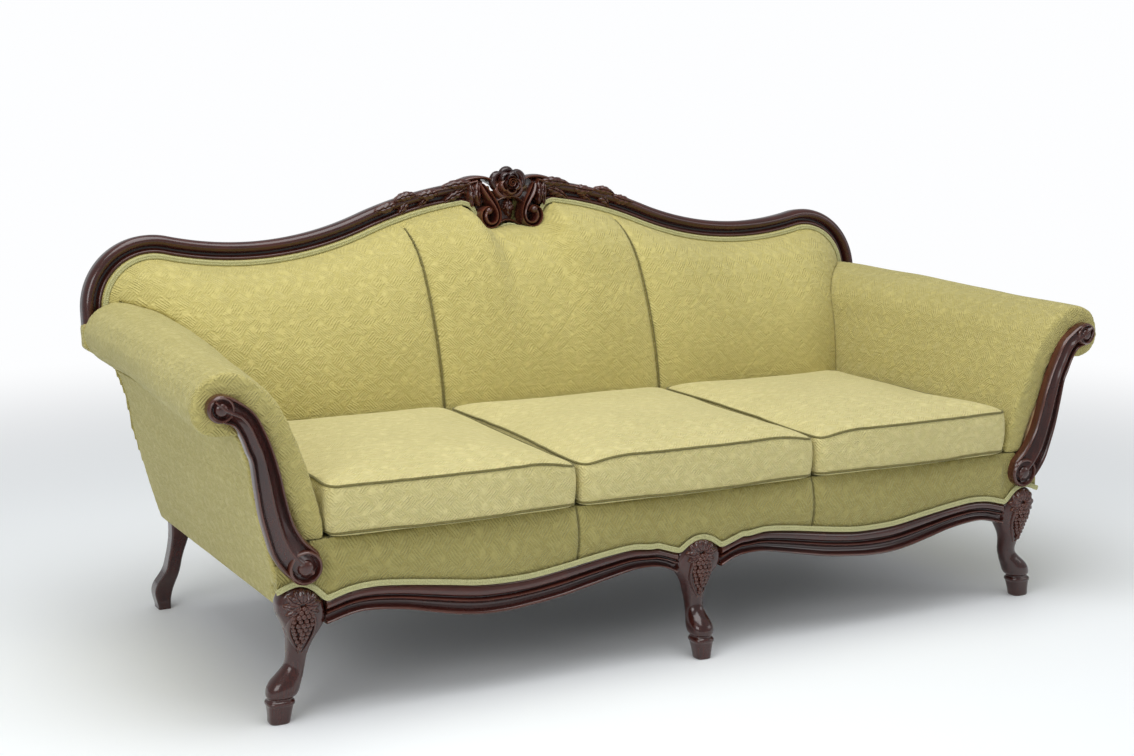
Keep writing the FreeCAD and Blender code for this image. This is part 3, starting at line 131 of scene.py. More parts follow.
# Crest rail
# Mahogany, steam-bent and moulded along its whole length: a wide bead, a hollow and a thin inner
# bead against the cover. Two halves dowelled behind the carving, polished with dark lacquer.
RAKE = math.radians(5.71)
BACK_FOOT = np.array([0.0, 386.3, 0.0])
ACROSS = np.array([1.0, 0.0, 0.0])
UP_BACK = np.array([0.0, math.sin(RAKE), math.cos(RAKE)])
OUT_BACK = np.array([0.0, -math.cos(RAKE), math.sin(RAKE)])


def on_back(x, height, forward):
    """Millimetre points from a place on the raked back plane and a distance in front of it."""
    x, height, forward = np.broadcast_arrays(np.asarray(x, float), height, forward)
    return (BACK_FOOT + x[..., None] * ACROSS + height[..., None] * UP_BACK
            + forward[..., None] * OUT_BACK)


def on_circle_part(centre, radius, start, end, way, step):
    """Places and outward directions along an arc, its angles in degrees."""
    count = max(int(abs(math.radians(end - start)) * radius / step), 3)
    turn = np.radians(np.linspace(start, end, count))
    flat = np.c_[np.cos(turn), np.sin(turn)]
    return np.array(centre) + radius * flat, way * flat


def crest_line(start=86.4, foot=640.0, step=7.0):
    """The right half of the rail's middle line with its outward direction: crown, hollow, shoulder."""
    crown, crown_r = (0.0, -95.0), 1000.0
    hollow_x, drop = 650.0, 905.0 - 781.0
    hollow_r = (hollow_x ** 2 + drop ** 2) / (2 * drop) - crown_r
    hollow = (hollow_x, 781.0 + hollow_r)
    shoulder_r = 135.0
    reach = hollow_r + shoulder_r
    shoulder = (990.0 - shoulder_r, hollow[1] - math.sqrt(reach ** 2 - (855.0 - hollow_x) ** 2))
    crown_end = math.degrees(math.atan2(hollow[1] - crown[1], hollow[0]))
    hollow_end = math.degrees(math.atan2(shoulder[1] - hollow[1], shoulder[0] - hollow[0]))
    parts = [on_circle_part(crown, crown_r, start, crown_end, 1, step),
             on_circle_part(hollow, hollow_r, crown_end - 180, hollow_end, -1, step),
             on_circle_part(shoulder, shoulder_r, hollow_end + 180, 0, 1, 4.0)]
    heights = np.linspace(shoulder[1], foot, 8)
    parts.append((np.c_[np.full(8, 990.0), heights], np.tile((1.0, 0.0), (8, 1))))
    places = np.vstack([parts[0][0]] + [p[0][1:] for p in parts[1:]])
    outward = np.vstack([parts[0][1]] + [p[1][1:] for p in parts[1:]])
    return places, outward


def skin(rows):
    """Points and faces of a solid through rings of points, closed at both ends."""
    rows = np.asarray(rows, float)
    count, width = rows.shape[:2]
    faces = [(i * width + j, i * width + (j + 1) % width, (i + 1) * width + (j + 1) % width,
              (i + 1) * width + j) for i in range(count - 1) for j in range(width)]
    faces += [tuple(range(width))[::-1], tuple((count - 1) * width + k for k in range(width))]
    return rows.reshape(-1, 3), faces


def mirror_of(points):
    return np.asarray(points) * (-1, 1, 1)


def both_sides(shape):
    """A right-hand shape and its mirror image, each with its side's name."""
    points, faces = shape
    return ("right", shape), ("left", (mirror_of(points), faces))


def joined(*parts):
    """Several point and face lists as one."""
    points, faces, shift = [], [], 0
    for part_points, part_faces in parts:
        points.append(np.asarray(part_points, float).reshape(-1, 3))
        faces += [tuple(i + shift for i in face) for face in part_faces]
        shift += len(points[-1])
    return np.vstack(points), faces


def shown(name, mesh):
    """A mesh as an object of the scene, under its own name."""
    piece = bpy.data.objects.new(name, mesh)
    scene.collection.objects.link(piece)
    return piece


def carved(name, shape, sharp=42):
    """An object from millimetre points and faces: doubles merged, faces turned outwards."""
    points, faces = shape
    mesh = bpy.data.meshes.new(name)
    mesh.from_pydata((points * 0.001).tolist(), [], faces)
    work = bmesh.new()
    work.from_mesh(mesh)
    bmesh.ops.remove_doubles(work, verts=work.verts, dist=0.00002)
    bmesh.ops.dissolve_degenerate(work, dist=0.000001, edges=work.edges)
    bmesh.ops.recalc_face_normals(work, faces=work.faces)
    work.to_mesh(mesh)
    work.free()
    mesh.shade_smooth()
    mesh.set_sharp_from_angle(angle=math.radians(sharp))
    return shown(name, mesh)


def fitted(piece, nodes, material, body="frame"):
    """A finished piece: its body, the nodes it stands for and its material."""
    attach(piece, body)
    if nodes:
        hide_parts(*nodes)
    piece.data.materials.clear()
    piece.data.materials.append(material)
    return piece


def group_of(name, inputs, outputs, kind="ShaderNodeTree"):
    """An empty node group with named inputs and outputs, its inputs and its adding function."""
    group = bpy.data.node_groups.new(name, kind)
    for label, socket_kind, value in inputs:
        socket = group.interface.new_socket(name=label, in_out="INPUT", socket_type="NodeSocket" + socket_kind)
        if value is not None:
            socket.default_value = value
    for label, socket_kind in outputs:
        group.interface.new_socket(name=label, in_out="OUTPUT", socket_type="NodeSocket" + socket_kind)
    add = adder(group)
    return group, add("NodeGroupInput").outputs, add


def worked(add, operation, *terms):
    """The result of a Math node on numbers or sockets."""
    return add("ShaderNodeMath", dict(enumerate(terms)), operation=operation).outputs[0]


def stepped(add, term, low, high):
    """A smooth step from 0 to 1 between two values."""
    return add("ShaderNodeMapRange", {"Value": term, "From Min": low, "From Max": high},
               interpolation_type="SMOOTHSTEP").outputs[0]


def mixed_colour(add, share, first, second):
    return add("ShaderNodeMix", {"Factor": share, "A": first, "B": second}, data_type="RGBA").outputs["Result"]


SURFACE = (("Color", "Color"), ("Roughness", "Float"), ("Height", "Float"))


def lacquer_group():
    """Dark red-brown lacquer on wood: long grain, dark hollows and rubbed high spots."""
    group, given, add = group_of("lacquered_wood", (
        ("Place", "Vector", None), ("Dark", "Color", (0.012, 0.0035, 0.003, 1)),
        ("Red", "Color", (0.062, 0.012, 0.008, 1)), ("Worn", "Color", (0.19, 0.065, 0.034, 1)),
        ("Wear", "Float", 0.5)), SURFACE)
    stretch = add("ShaderNodeMapping", {"Vector": given["Place"], "Scale": (9, 60, 60)})
    grain = add("ShaderNodeTexNoise", {"Vector": stretch.outputs[0], "Scale": 3.2, "Detail": 6,
                                       "Roughness": 0.62}).outputs["Fac"]
    cloud = add("ShaderNodeTexNoise", {"Vector": given["Place"], "Scale": 7.0, "Detail": 3}).outputs["Fac"]
    bend = add("ShaderNodeNewGeometry").outputs["Pointiness"]
    warm = worked(add, "MULTIPLY_ADD", grain, 0.55, worked(add, "MULTIPLY", cloud, 0.5))
    tone = add("ShaderNodeMapRange", {"Value": warm, "From Min": 0.3, "From Max": 0.72}).outputs[0]
    base = mixed_colour(add, tone, given["Dark"], given["Red"])
    hollowed = mixed_colour(add, stepped(add, bend, 0.38, 0.495), (0.006, 0.002, 0.002, 1), base)
    rubbed = worked(add, "MULTIPLY", worked(add, "MULTIPLY", stepped(add, bend, 0.505, 0.60), given["Wear"]), cloud)
    rough = add("ShaderNodeMapRange", {"Value": cloud, "To Min": 0.16, "To Max": 0.36})
    add("NodeGroupOutput", {"Color": mixed_colour(add, rubbed, hollowed, given["Worn"]),
                            "Roughness": rough.outputs[0], "Height": grain})
    return group


LACQUERED = lacquer_group()


def surfaced(add, colour, roughness, height, bump, finish):
    """Ends a material: one shader with its finish, a bump of a strength and a depth, the output."""
    relief = add("ShaderNodeBump", {"Strength": bump[0], "Distance": bump[1], "Height": height})
    shader = add("ShaderNodeBsdfPrincipled", {**finish, "Base Color": colour, "Roughness": roughness,
                                              "Normal": relief.outputs[0]})
    add("ShaderNodeOutputMaterial", {"Surface": shader.outputs[0]})


def show_wood(name, wear=0.6, turn=(0.0, 0.0, 0.0)):
    """Lacquered mahogany whose grain runs along X before the turn is applied."""
    material = bpy.data.materials.new(name)
    add = nodes_of(material)
    along = add("ShaderNodeMapping", {"Vector": add("ShaderNodeTexCoord").outputs["Object"], "Rotation": turn})
    wood = add("ShaderNodeGroup", {"Place": along.outputs[0], "Wear": wear}, node_tree=LACQUERED)
    surfaced(add, wood.outputs["Color"], wood.outputs["Roughness"], wood.outputs["Height"], (0.10, 0.0006),
             {"Specular IOR Level": 0.35, "Coat Weight": 0.6, "Coat Roughness": 0.09})
    return material


MAHOGANY = show_wood("lacquered_mahogany")


def bead(centre_u, base_f, half, height, start=180.0, end=0.0, count=9):
    """Points over a rounded bead: its middle, its foot, its half width and its height."""
    turn = np.radians(np.linspace(start, end, count))
    return [(centre_u + half * math.cos(a), base_f + height * math.sin(a)) for a in turn]


def crest_profile(inner):
    """The rail's section from its inner edge outwards: offsets across and depths forward."""
    thin = bead(inner + 6.0, 27.0, 5.0, 8.5)
    floor_of_hollow = [(inner + 13.0, 25.5), ((inner - 2) * 0.55 + 2, 24.5), (-4.5, 25.0)]
    wide = bead(8.5, 25.0, 12.5, 17.0, 172.0, 0.0, 15)
    return ([(inner, 0.0), (inner, 25.0)] + thin + floor_of_hollow + wide
            + [(21.0, 6.0), (18.0, 0.0)])


def inner_edge(x):
    """How far the rail's inner edge lies from its middle line: it dips towards the volutes."""
    return np.interp(x, (66, 74, 80, 88, 97, 108, 125, 160, 210), (-74, -66, -57, -45, -36, -31, -27, -23, -21))


rows = [[on_back(x + u * out_x, height + u * out_h, f) for u, f in crest_profile(inner_edge(x))]
        for (x, height), (out_x, out_h) in zip(*crest_line())]
for side, shape in both_sides(skin(rows)):
    fitted(carved("crest_rail_moulded_" + side, shape), ["crest_rail_" + side], MAHOGANY)

# Carved centre of the crest
# One block of mahogany, pierced beside the rose and carved with two C scrolls that curl out at
# their feet, a small plume between them, drooping buds and sprays of leaves along both rails.


def smooth_line(points, count):
    """A smooth line through control points of any width, at even steps along its length."""
    points = np.asarray(points, float)
    knots = np.vstack([2 * points[0] - points[1], points, 2 * points[-1] - points[-2]])
    line = []
    for a, b, c, d in zip(knots, knots[1:], knots[2:], knots[3:]):
        for t in np.linspace(0, 1, 12, endpoint=False):
            line.append(0.5 * (2 * b + (c - a) * t + (2 * a - 5 * b + 4 * c - d) * t * t
                               + (3 * b - a - 3 * c + d) * t ** 3))
    line = np.array(line + [points[-1]])
    steps = np.r_[0, np.cumsum(np.linalg.norm(np.diff(line[:, :2], axis=0), axis=1))]
    wanted = np.linspace(0, steps[-1], count)
    return np.column_stack([np.interp(wanted, steps, line[:, k]) for k in range(line.shape[1])])


def side_of(line):
    """Unit directions square to a flat line, to its left."""
    way = np.gradient(line[:, :2], axis=0)
    way /= np.linalg.norm(way, axis=1)[:, None] + 1e-9
    return np.c_[-way[:, 1], way[:, 0]]


def carved_band(path, section, place, count=60, foot=20.0):
    """A raised band along a path of (x, height, half width, depth) rows. The section runs across
    from -1 to 1 with shares of the depth, and the band rises from its foot."""
    line = smooth_line(path, count)
    side = side_of(line)
    rows = []
    for (x, height, half, depth), (sx, sh) in zip(line, side):
        across = [(x + u * half * sx, height + u * half * sh, foot + (depth - foot) * share)
                  for u, share in section]
        across = [(*across[0][:2], foot)] + across + [(*across[-1][:2], foot)]
        rows.append([place(*spot) for spot in across])
    return skin(rows)


ROUND = [(u, math.sqrt(max(1 - u * u * 0.92, 0))) for u in np.linspace(-1, 1, 9)]
SCROLL = [
    (-1.0, 0.60), (-0.90, 0.86), (-0.72, 1.0), (-0.52, 0.93), (-0.40, 0.72), (-0.28, 0.66), (-0.12, 0.84),
    (0.15, 0.97), (0.42, 0.99), (0.68, 0.90), (0.86, 0.76), (1.0, 0.55)]


def carved_leaf(base, tip, width, ground, rise, place, bend=0.0, teeth=4, rows=21, lift=0.0):
    """A carved leaf from its base to its tip: notched edge, sunk midrib and slanting veins."""
    base, tip = np.asarray(base, float), np.asarray(tip, float)
    along = tip - base
    length = np.linalg.norm(along)
    along /= length
    left = np.array([-along[1], along[0]])
    spots = []
    for s in np.linspace(0, 1, rows):
        tooth = (s * teeth) % 1.0
        half = width / 2 * (math.sin(math.pi * min(s * 0.92 + 0.04, 1)) ** 0.75) * (0.84 + 0.20 * tooth)
        half = max(half, 0.4)
        middle = base + along * length * s + left * bend * math.sin(math.pi * s)
        row = []
        for t in np.linspace(-1, 1, 11):
            spot = middle + left * half * t + along * abs(t) * -half * 0.35
            dome = rise * (0.55 + 0.45 * math.cos(t * 1.9)) * (math.sin(math.pi * (0.12 + 0.8 * s)) ** 0.5)
            rib = -0.28 * rise * math.exp(-(t / 0.16) ** 2)
            vein = 0.07 * rise * math.cos(2 * math.pi * teeth * (s + 0.16 * abs(t))) * min(abs(t) * 2, 1)
            row.append(place(spot[0], spot[1], ground + dome + rib + vein + lift * s))
        ends = [(middle - left * half + along * -half * 0.35), (middle + left * half + along * -half * 0.35)]
        row.insert(0, place(ends[0][0], ends[0][1], ground - 12))
        row.append(place(ends[1][0], ends[1][1], ground - 12))
        spots.append(row)
    return skin(spots)


def turns(count):
    """Evenly spaced angles round a circle."""
    return np.linspace(0, 2 * math.pi, count, endpoint=False)


scroll_stem = carved_band([(70, 912, 6, 52), (65, 901, 10, 58), (57, 887, 11.5, 62), (46, 870, 10.5, 63),
                           (37, 853, 8.5, 63), (34, 837, 7.5, 63), (39, 822.5, 7.5, 63), (51, 816, 8.5, 64),
                           (64, 819, 10.5, 65), (71.5, 831, 11.5, 66), (70, 845, 11, 66), (60, 853, 8.5, 66),
                           (52, 848, 6, 62), (52, 843, 2.5, 52)], SCROLL, on_back, 110, 22)
scroll_knob = skin([[on_back(60 + 9.5 * math.cos(lift) * math.cos(a), 849.5 + 9.5 * math.cos(lift) * math.sin(a),
                             58 + 10 * math.sin(lift)) for a in turns(20)]
                    for lift in np.linspace(0, math.pi / 2, 6)])
hollow_floor = carved_band([(52, 858, 8, 34), (53, 846, 17, 34), (53, 834, 19, 34), (52, 822, 13, 34)],
                           ROUND, on_back, 14, 16)
bridge = carved_band([(118, 921, 6, 44), (95, 926.5, 7, 46), (76, 928.5, 6.5, 48), (58, 927.5, 5.5, 50),
                      (40, 921, 6, 52), (30, 915, 6, 50)], ROUND, on_back, 40, 14)
lower_bridge = carved_band([(110, 900, 13, 38), (92, 896, 16, 38), (78, 893, 14, 36), (66, 884, 12, 34),
                            (58, 872, 12, 32)], ROUND, on_back, 24, 12)
buds = joined(carved_leaf((80, 918), (79, 862), 21, 42, 16, on_back, 3.0, 3),
              carved_leaf((98, 917), (95, 860), 21, 38, 15, on_back, -3.0, 3))
sprays = joined(
    carved_leaf((90, 916), (168, 908), 25, 40, 13, on_back, 2.0, 4, lift=-2),
    carved_leaf((106, 901), (164, 873), 26, 30, 17, on_back, 3.0, 4),
    carved_leaf((178, 899), (236, 889), 26, 36, 14, on_back, -2.0, 4),
    carved_leaf((198, 886), (228, 866), 17, 29, 13, on_back, 2.0, 3),
    carved_leaf((236, 893), (290, 880), 22, 39, 12, on_back, 3.0, 4),
    carved_leaf((250, 883), (278, 848), 24, 29, 14, on_back, 2.0, 4),
    carved_leaf((286, 875), (342, 857), 25, 38, 12, on_back, -2.0, 4),
    carved_band([(80, 920, 4.6, 52), (120, 912, 4.2, 48), (165, 904, 3.8, 46), (215, 896, 3.4, 45),
                 (255, 886, 3.0, 45), (282, 876, 2.5, 43)], ROUND, on_back, 60, 26))
plume = joined(
    carved_leaf((0, 877), (0, 836), 25, 36, 14, on_back, 0.0, 3),
    carved_leaf((-3, 872), (-15, 850), 12, 34, 15, on_back, 1.5, 3),
    carved_leaf((3, 872), (15, 850), 12, 34, 15, on_back, -1.5, 3),
    carved_band([(-34, 871, 4, 48), (-18, 879, 5, 54), (0, 882.5, 6, 57), (18, 879, 5, 54), (34, 871, 4, 48)],
                ROUND, on_back, 40, 30))
low_arc = carved_band([(-34, 814, 5, 38), (-20, 822.5, 5, 38), (0, 828, 5, 38), (20, 822.5, 5, 38), (34, 814, 5, 38)],
                      ROUND, on_back, 40, 8)
back_web = carved_band([(0, 898, 33, 30), (0, 880, 30, 30), (0, 858, 27, 30), (0, 838, 24, 30), (0, 827, 20, 29)],
                       ROUND, on_back, 16, 2)
inner_bead = carved_band([(118, 873.5, 4.2, 35), (106, 869, 4.2, 35), (97, 860.5, 4.2, 35), (89, 849, 4.2, 35),
                          (84, 838, 4.2, 34), (80, 826, 4.2, 32)], ROUND, on_back, 30, 8)
halves = (scroll_stem, scroll_knob, hollow_floor, bridge, lower_bridge, buds, sprays, inner_bead)
carving = joined(*[half for part in halves for _, half in both_sides(part)], plume, low_arc, back_web)
CARVED_MAHOGANY = show_wood("carved_mahogany", wear=1.1)
fitted(carved("crest_carving", carving, 55), ["crest_cartouche"], CARVED_MAHOGANY)

# Rose of the crest
# The highest carving of the same mahogany block: three rings of petals cut over each other round
# a rolled heart, on a solid core.


def petal(middle, heading, spread, reach, lows, ruffle=0.0, thick=2.6, rows=11, columns=13):
    """A cupped petal: rows run from the heart to the rim, whose depths are given in lows."""
    shape = []
    shares = np.linspace(0, 1, rows)
    depth_at = np.interp(shares, np.linspace(0, 1, len(lows)), lows)
    for share, depth in zip(shares, depth_at):
        top, under = [], []
        for a in np.linspace(-1, 1, columns):
            round_off = 1 - 0.20 * a * a * share - 0.10 * abs(a) ** 3
            radius = (reach[0] + (reach[1] - reach[0]) * share) * round_off
            turn = math.radians(heading + a * spread * (0.62 + 0.38 * share))
            wave = ruffle * share * math.cos(3.1 * a + 0.4)
            x = middle[0] + radius * math.cos(turn)
            height = middle[1] + radius * math.sin(turn)
            top.append(on_back(x, height, depth + wave))
            under.append(on_back(middle[0] + (x - middle[0]) * 0.985, middle[1] + (height - middle[1]) * 0.985,
                                 depth + wave - thick))
        shape.append(top + under[::-1])
    return skin(shape)


rose_middle = (0.0, 913.0)
rose_parts = []
for heading, reach in ((96, 41), (20, 50), (168, 50), (-38, 45), (-140, 45), (-90, 38)):
    rose_parts.append(petal(rose_middle, heading, 44, (5, reach), (40, 38, 37, 40, 47, 54, 55, 45), 1.0))
for heading in (60, 132, 204, 276, 348):
    rose_parts.append(petal(rose_middle, heading, 46, (5, 31), (54, 50, 47, 51, 60, 67, 65, 55), 0.8))
for heading in (90, 210, 330):
    rose_parts.append(petal(rose_middle, heading, 64, (4, 20), (60, 57, 57, 65, 73, 75, 66), 0.5))
heart = []
for turn in np.linspace(0, 3.6 * math.pi, 64):
    radius = 10.5 - 8.2 * turn / (3.6 * math.pi)
    wall = []
    for out, depth in ((1.6, 60), (1.5, 72), (0.6, 76), (-0.6, 75), (-1.2, 70), (-1.2, 60)):
        wall.append(on_back(rose_middle[0] + (radius + out) * math.cos(turn),
                            rose_middle[1] + (radius + out) * math.sin(turn), depth))
    heart.append(wall)
rose_parts.append(skin(heart))
core = []
for radius, depth in ((24, 20), (27, 38), (24, 52), (15, 60), (8, 66), (1, 67)):
    core.append([on_back(rose_middle[0] + radius * math.cos(a), rose_middle[1] + radius * math.sin(a), depth)
                 for a in turns(28)])
rose_parts.append(skin(core))
fitted(carved("crest_rose_carved", joined(*rose_parts), 60), ["crest_rose"], CARVED_MAHOGANY)

# Moulded front rails
# Two serpentine lengths of mahogany between the leg blocks, run with a wide hollow, a thin bead
# in the middle and a bead along the lower edge, glued and screwed to the beech rail behind.
RAIL_TOP = np.array([
    (0, 243), (14, 241), (30, 234), (42, 226), (52, 222), (81, 231), (100, 237), (117, 237), (157, 241),
    (213, 236), (270, 228), (325, 220), (381, 213.5), (436, 212.5), (491, 215), (547, 223), (603, 231),
    (650, 237), (697, 241), (744, 238), (792, 226)], float)
RAIL_LOW = np.array([
    (52, 180), (80, 193), (112, 199), (153, 198), (206, 188), (260, 177), (317, 166), (376, 159), (427, 154.5),
    (480, 155), (532, 162), (585, 174), (640, 187), (700, 195), (740, 194), (792, 181)], float)
RAIL_TOP_LINE = smooth_line(RAIL_TOP, 260)
RAIL_LOW_LINE = smooth_line(RAIL_LOW, 260)
RAIL_MOULD = [
    (0.0, 14), (0.03, 17.5), (0.08, 22), (0.16, 24.6), (0.24, 24.9), (0.33, 23.4), (0.39, 19.5), (0.42, 15),
    (0.445, 15), (0.46, 20), (0.49, 23.8), (0.52, 24.2), (0.55, 22), (0.575, 17), (0.60, 14), (0.68, 12.6),
    (0.77, 13.4), (0.835, 16.5), (0.855, 20.5), (0.89, 24.2), (0.93, 25), (0.97, 23), (1.0, 17)]


def rail_top(x):
    return np.interp(np.abs(x), RAIL_TOP_LINE[:, 0], RAIL_TOP_LINE[:, 1])


def rail_low(x):
    return np.interp(np.abs(x), RAIL_LOW_LINE[:, 0], RAIL_LOW_LINE[:, 1])


BEECH_FACE = -412.3
rail_rows = []
for x in np.linspace(52.3, 791.7, 150):
    top, low = rail_top(x), rail_low(x)
    rail_rows.append([(x, BEECH_FACE - depth, top - t * (top - low)) for t, depth in RAIL_MOULD]
                     + [(x, BEECH_FACE, low), (x, BEECH_FACE, top)])
for side, shape in both_sides(skin(rail_rows)):
    fitted(carved("front_rail_moulded_" + side, shape, 50), ["front_rail_" + side], MAHOGANY)

# Legs
# Five solid mahogany legs: plain splayed ones behind, and three cabriole legs in front whose
# knees are carved with a fan of leaves over a bunch of grapes, their toes turned on small pads.
LEG_WOOD = show_wood("leg_mahogany", wear=0.4, turn=(0.0, math.radians(90), 0.0))
for node in ("back_leg_left", "back_leg_right"):
    for slot in bpy.data.objects[node].material_slots:
        slot.material = LEG_WOOD

# Height, middle, half width, half depth and squareness of each level of a front leg.
CORNER_LEG = [
    (258, 846, -413, 5, 14, 2.2), (256, 846, -413, 16, 22, 2.4), (251, 845, -413, 26, 25, 2.6),
    (243, 843, -413, 34, 26.5, 3.0), (233, 841, -412, 40, 27.5, 3.2), (224, 839, -412, 43.5, 28, 3.2),
    (212, 837, -412, 44.5, 28, 3.2), (200, 834, -411, 42, 28.6, 3.2), (190, 831.5, -409, 39.5, 29, 3.0),
    (181, 830.5, -407, 36.5, 28.5, 2.8), (171, 831.5, -406, 31.5, 27.4, 2.7), (160, 834, -404.5, 27, 25.5, 2.6),
    (149, 836.5, -403, 23.6, 23.8, 2.5), (137, 838.5, -400, 21, 22, 2.4), (125, 839.5, -396.5, 19.4, 20.4, 2.3),
    (113, 840.5, -393.5, 18.8, 19.3, 2.2), (103, 843, -392.5, 19.8, 19.2, 2.2),
    (94, 848, -393, 22.5, 20.4, 2.2), (85, 854, -394, 26, 22.4, 2.3), (76, 860.5, -395, 28.8, 24.2, 2.4),
    (67, 865, -396, 30.2, 25.3, 2.4), (59, 867.5, -396.5, 30, 25.2, 2.4), (53, 869.5, -397, 28.4, 24, 2.4),
    (49.5, 871, -397, 26, 22, 2.4), (47, 872, -397, 23.4, 20.2, 2.4), (44, 872.5, -397, 23.6, 20.6, 2.6),
    (42, 872.8, -397, 25.6, 22.6, 2.8), (39.5, 873, -397, 26.4, 23.4, 3.0), (36, 873.2, -397, 26, 23, 3.0),
    (33.5, 873.4, -397, 24, 21.6, 3.2), (25, 874, -397.5, 22.2, 20, 3.2), (14, 875, -398, 20.6, 18.8, 3.2),
    (5, 876, -398, 19.8, 18, 3.2), (1.2, 876, -398, 19, 17.2, 3.2), (0, 876, -398, 17.6, 16, 3.2)]
CENTRE_LEG = [
    (244, 0, -424, 5, 9, 2.2), (242.5, 0, -424, 14, 13, 2.4), (238, 0, -423, 25, 15, 2.6),
    (231, 0, -421, 35, 18, 2.8), (222, 0, -418, 46, 21, 3.2), (212, 0, -415.5, 51.5, 23.5, 3.6),
    (200, 0, -413, 52.6, 26, 3.8), (190, 0, -411.5, 52.3, 27.5, 3.6), (181, 0, -410.5, 49, 28, 3.0),
    (172, 0, -409.5, 40, 28, 2.8), (161, 0, -409, 31.5, 27.4, 2.6), (150, 0, -409, 26.5, 26, 2.5),
    (138, 0, -409, 23, 24.5, 2.4), (124, 0, -409.5, 20.3, 22.4, 2.3), (110, 0, -411, 18.6, 20.6, 2.2),
    (99, 0, -414, 18.4, 20.4, 2.2), (89, 0, -419.5, 19.8, 22.6, 2.2), (79, 0, -427, 22.4, 26, 2.3),
    (69, 0, -433, 24.6, 28.4, 2.4), (61, 0, -436, 25.2, 28.8, 2.4), (54.5, 0, -438, 24.4, 27.4, 2.4),
    (50.5, 0, -439.5, 22.4, 25, 2.4), (47.5, 0, -440, 20, 22.4, 2.4), (44.5, 0, -440.5, 20.2, 22.6, 2.6),
    (42.5, 0, -441, 22, 24.6, 2.8), (40, 0, -441, 23, 25.4, 3.0), (36.5, 0, -441.5, 22.6, 25, 3.0),
    (34, 0, -442, 20.8, 23, 3.2), (25, 0, -443, 19, 20.6, 3.2), (14, 0, -444, 17.4, 18.4, 3.2),
    (5, 0, -445, 16.4, 17, 3.2), (1.2, 0, -445, 15.8, 16.4, 3.2), (0, 0, -445, 14.6, 15, 3.2)]


def cabriole(levels, side=1):
    """A leg shaped through its levels, each a rounded square."""
    table = np.array(levels, float)
    run = np.r_[0, np.cumsum(np.linalg.norm(np.diff(table[:, :3], axis=0), axis=1) + 2.0)]
    dense = smooth_line(np.c_[run, np.zeros(len(run)), table], 150)[:, 2:]
    around = turns(56)
    rows = []
    for z, x, y, half, depth, square in dense:
        c, s = np.cos(around), np.sin(around)
        px = x + half * np.sign(c) * np.abs(c) ** (2 / square)
        py = y + depth * np.sign(s) * np.abs(s) ** (2 / square)
        rows.append(np.c_[px * side, py, np.full(len(px), max(z, 0.0))])
    return skin(rows)


def net_of(mesh):
    """A mesh's faces, ready to be hit by rays."""
    return BVHTree.FromPolygons([v.co for v in mesh.vertices], [f.vertices for f in mesh.polygons])


def face_of(solid):
    """A function that gives the place on a leg's front, and a distance before it."""
    net = net_of(solid.data)

    def spot(x, z, forward):
        hit = net.ray_cast(Vector((x / 1000, -0.7, z / 1000)), Vector((0, 1, 0)))[0]
        y = min(hit.y * 1000, -400) if hit else -406
        return x, y - forward, z
    return spot


def finished(add, parts, material):
    """Ends a geometry tree: its instances made real, smooth and of one material."""
    real = add("GeometryNodeRealizeInstances", {0: parts})
    smooth = add("GeometryNodeSetShadeSmooth", {0: real.outputs[0]})
    cover = add("GeometryNodeSetMaterial", {"Geometry": smooth.outputs[0], "Material": material})
    add("NodeGroupOutput", {"Geometry": cover.outputs[0]})


def berry_tree():
    """Round berries of uneven size on every point of a net."""
    tree, given, add = group_of("bunch_of_berries", (("Geometry", "Geometry", None), ("Berry Radius", "Float", None),
                                                     ("Wood", "Material", None)),
                                (("Geometry", "Geometry"),), "GeometryNodeTree")
    berry = add("GeometryNodeMeshIcoSphere", {"Subdivisions": 2, "Radius": given["Berry Radius"]})
    size = add("FunctionNodeRandomValue", {2: 0.88, 3: 1.14, "Seed": 4}, data_type="FLOAT")
    placed = add("GeometryNodeInstanceOnPoints", {"Points": given["Geometry"], "Instance": berry.outputs["Mesh"],
                                                  "Scale": size.outputs[1]})
    finished(add, placed.outputs[0], given["Wood"])
    return tree


BERRIES = berry_tree()


def result_of(thing):
    """The mesh that an object's modifiers give, as a mesh of its own."""
    return bpy.data.meshes.new_from_object(thing.evaluated_get(bpy.context.evaluated_depsgraph_get()))


def worked_out(name, mesh, tree, settings):
    """Runs a geometry tree on a net with its named inputs, and keeps the result as a plain mesh."""
    holder = shown(name + "_guide", mesh)
    modifier = holder.modifiers.new("made", "NODES")
    modifier.node_group = tree
    for item in tree.interface.items_tree:
        if item.in_out == "INPUT" and item.name in settings:
            modifier[item.identifier] = settings[item.name]
    holder.update_tag()
    made = result_of(holder)
    bpy.data.objects.remove(holder)
    made.name = name
    return shown(name, made)


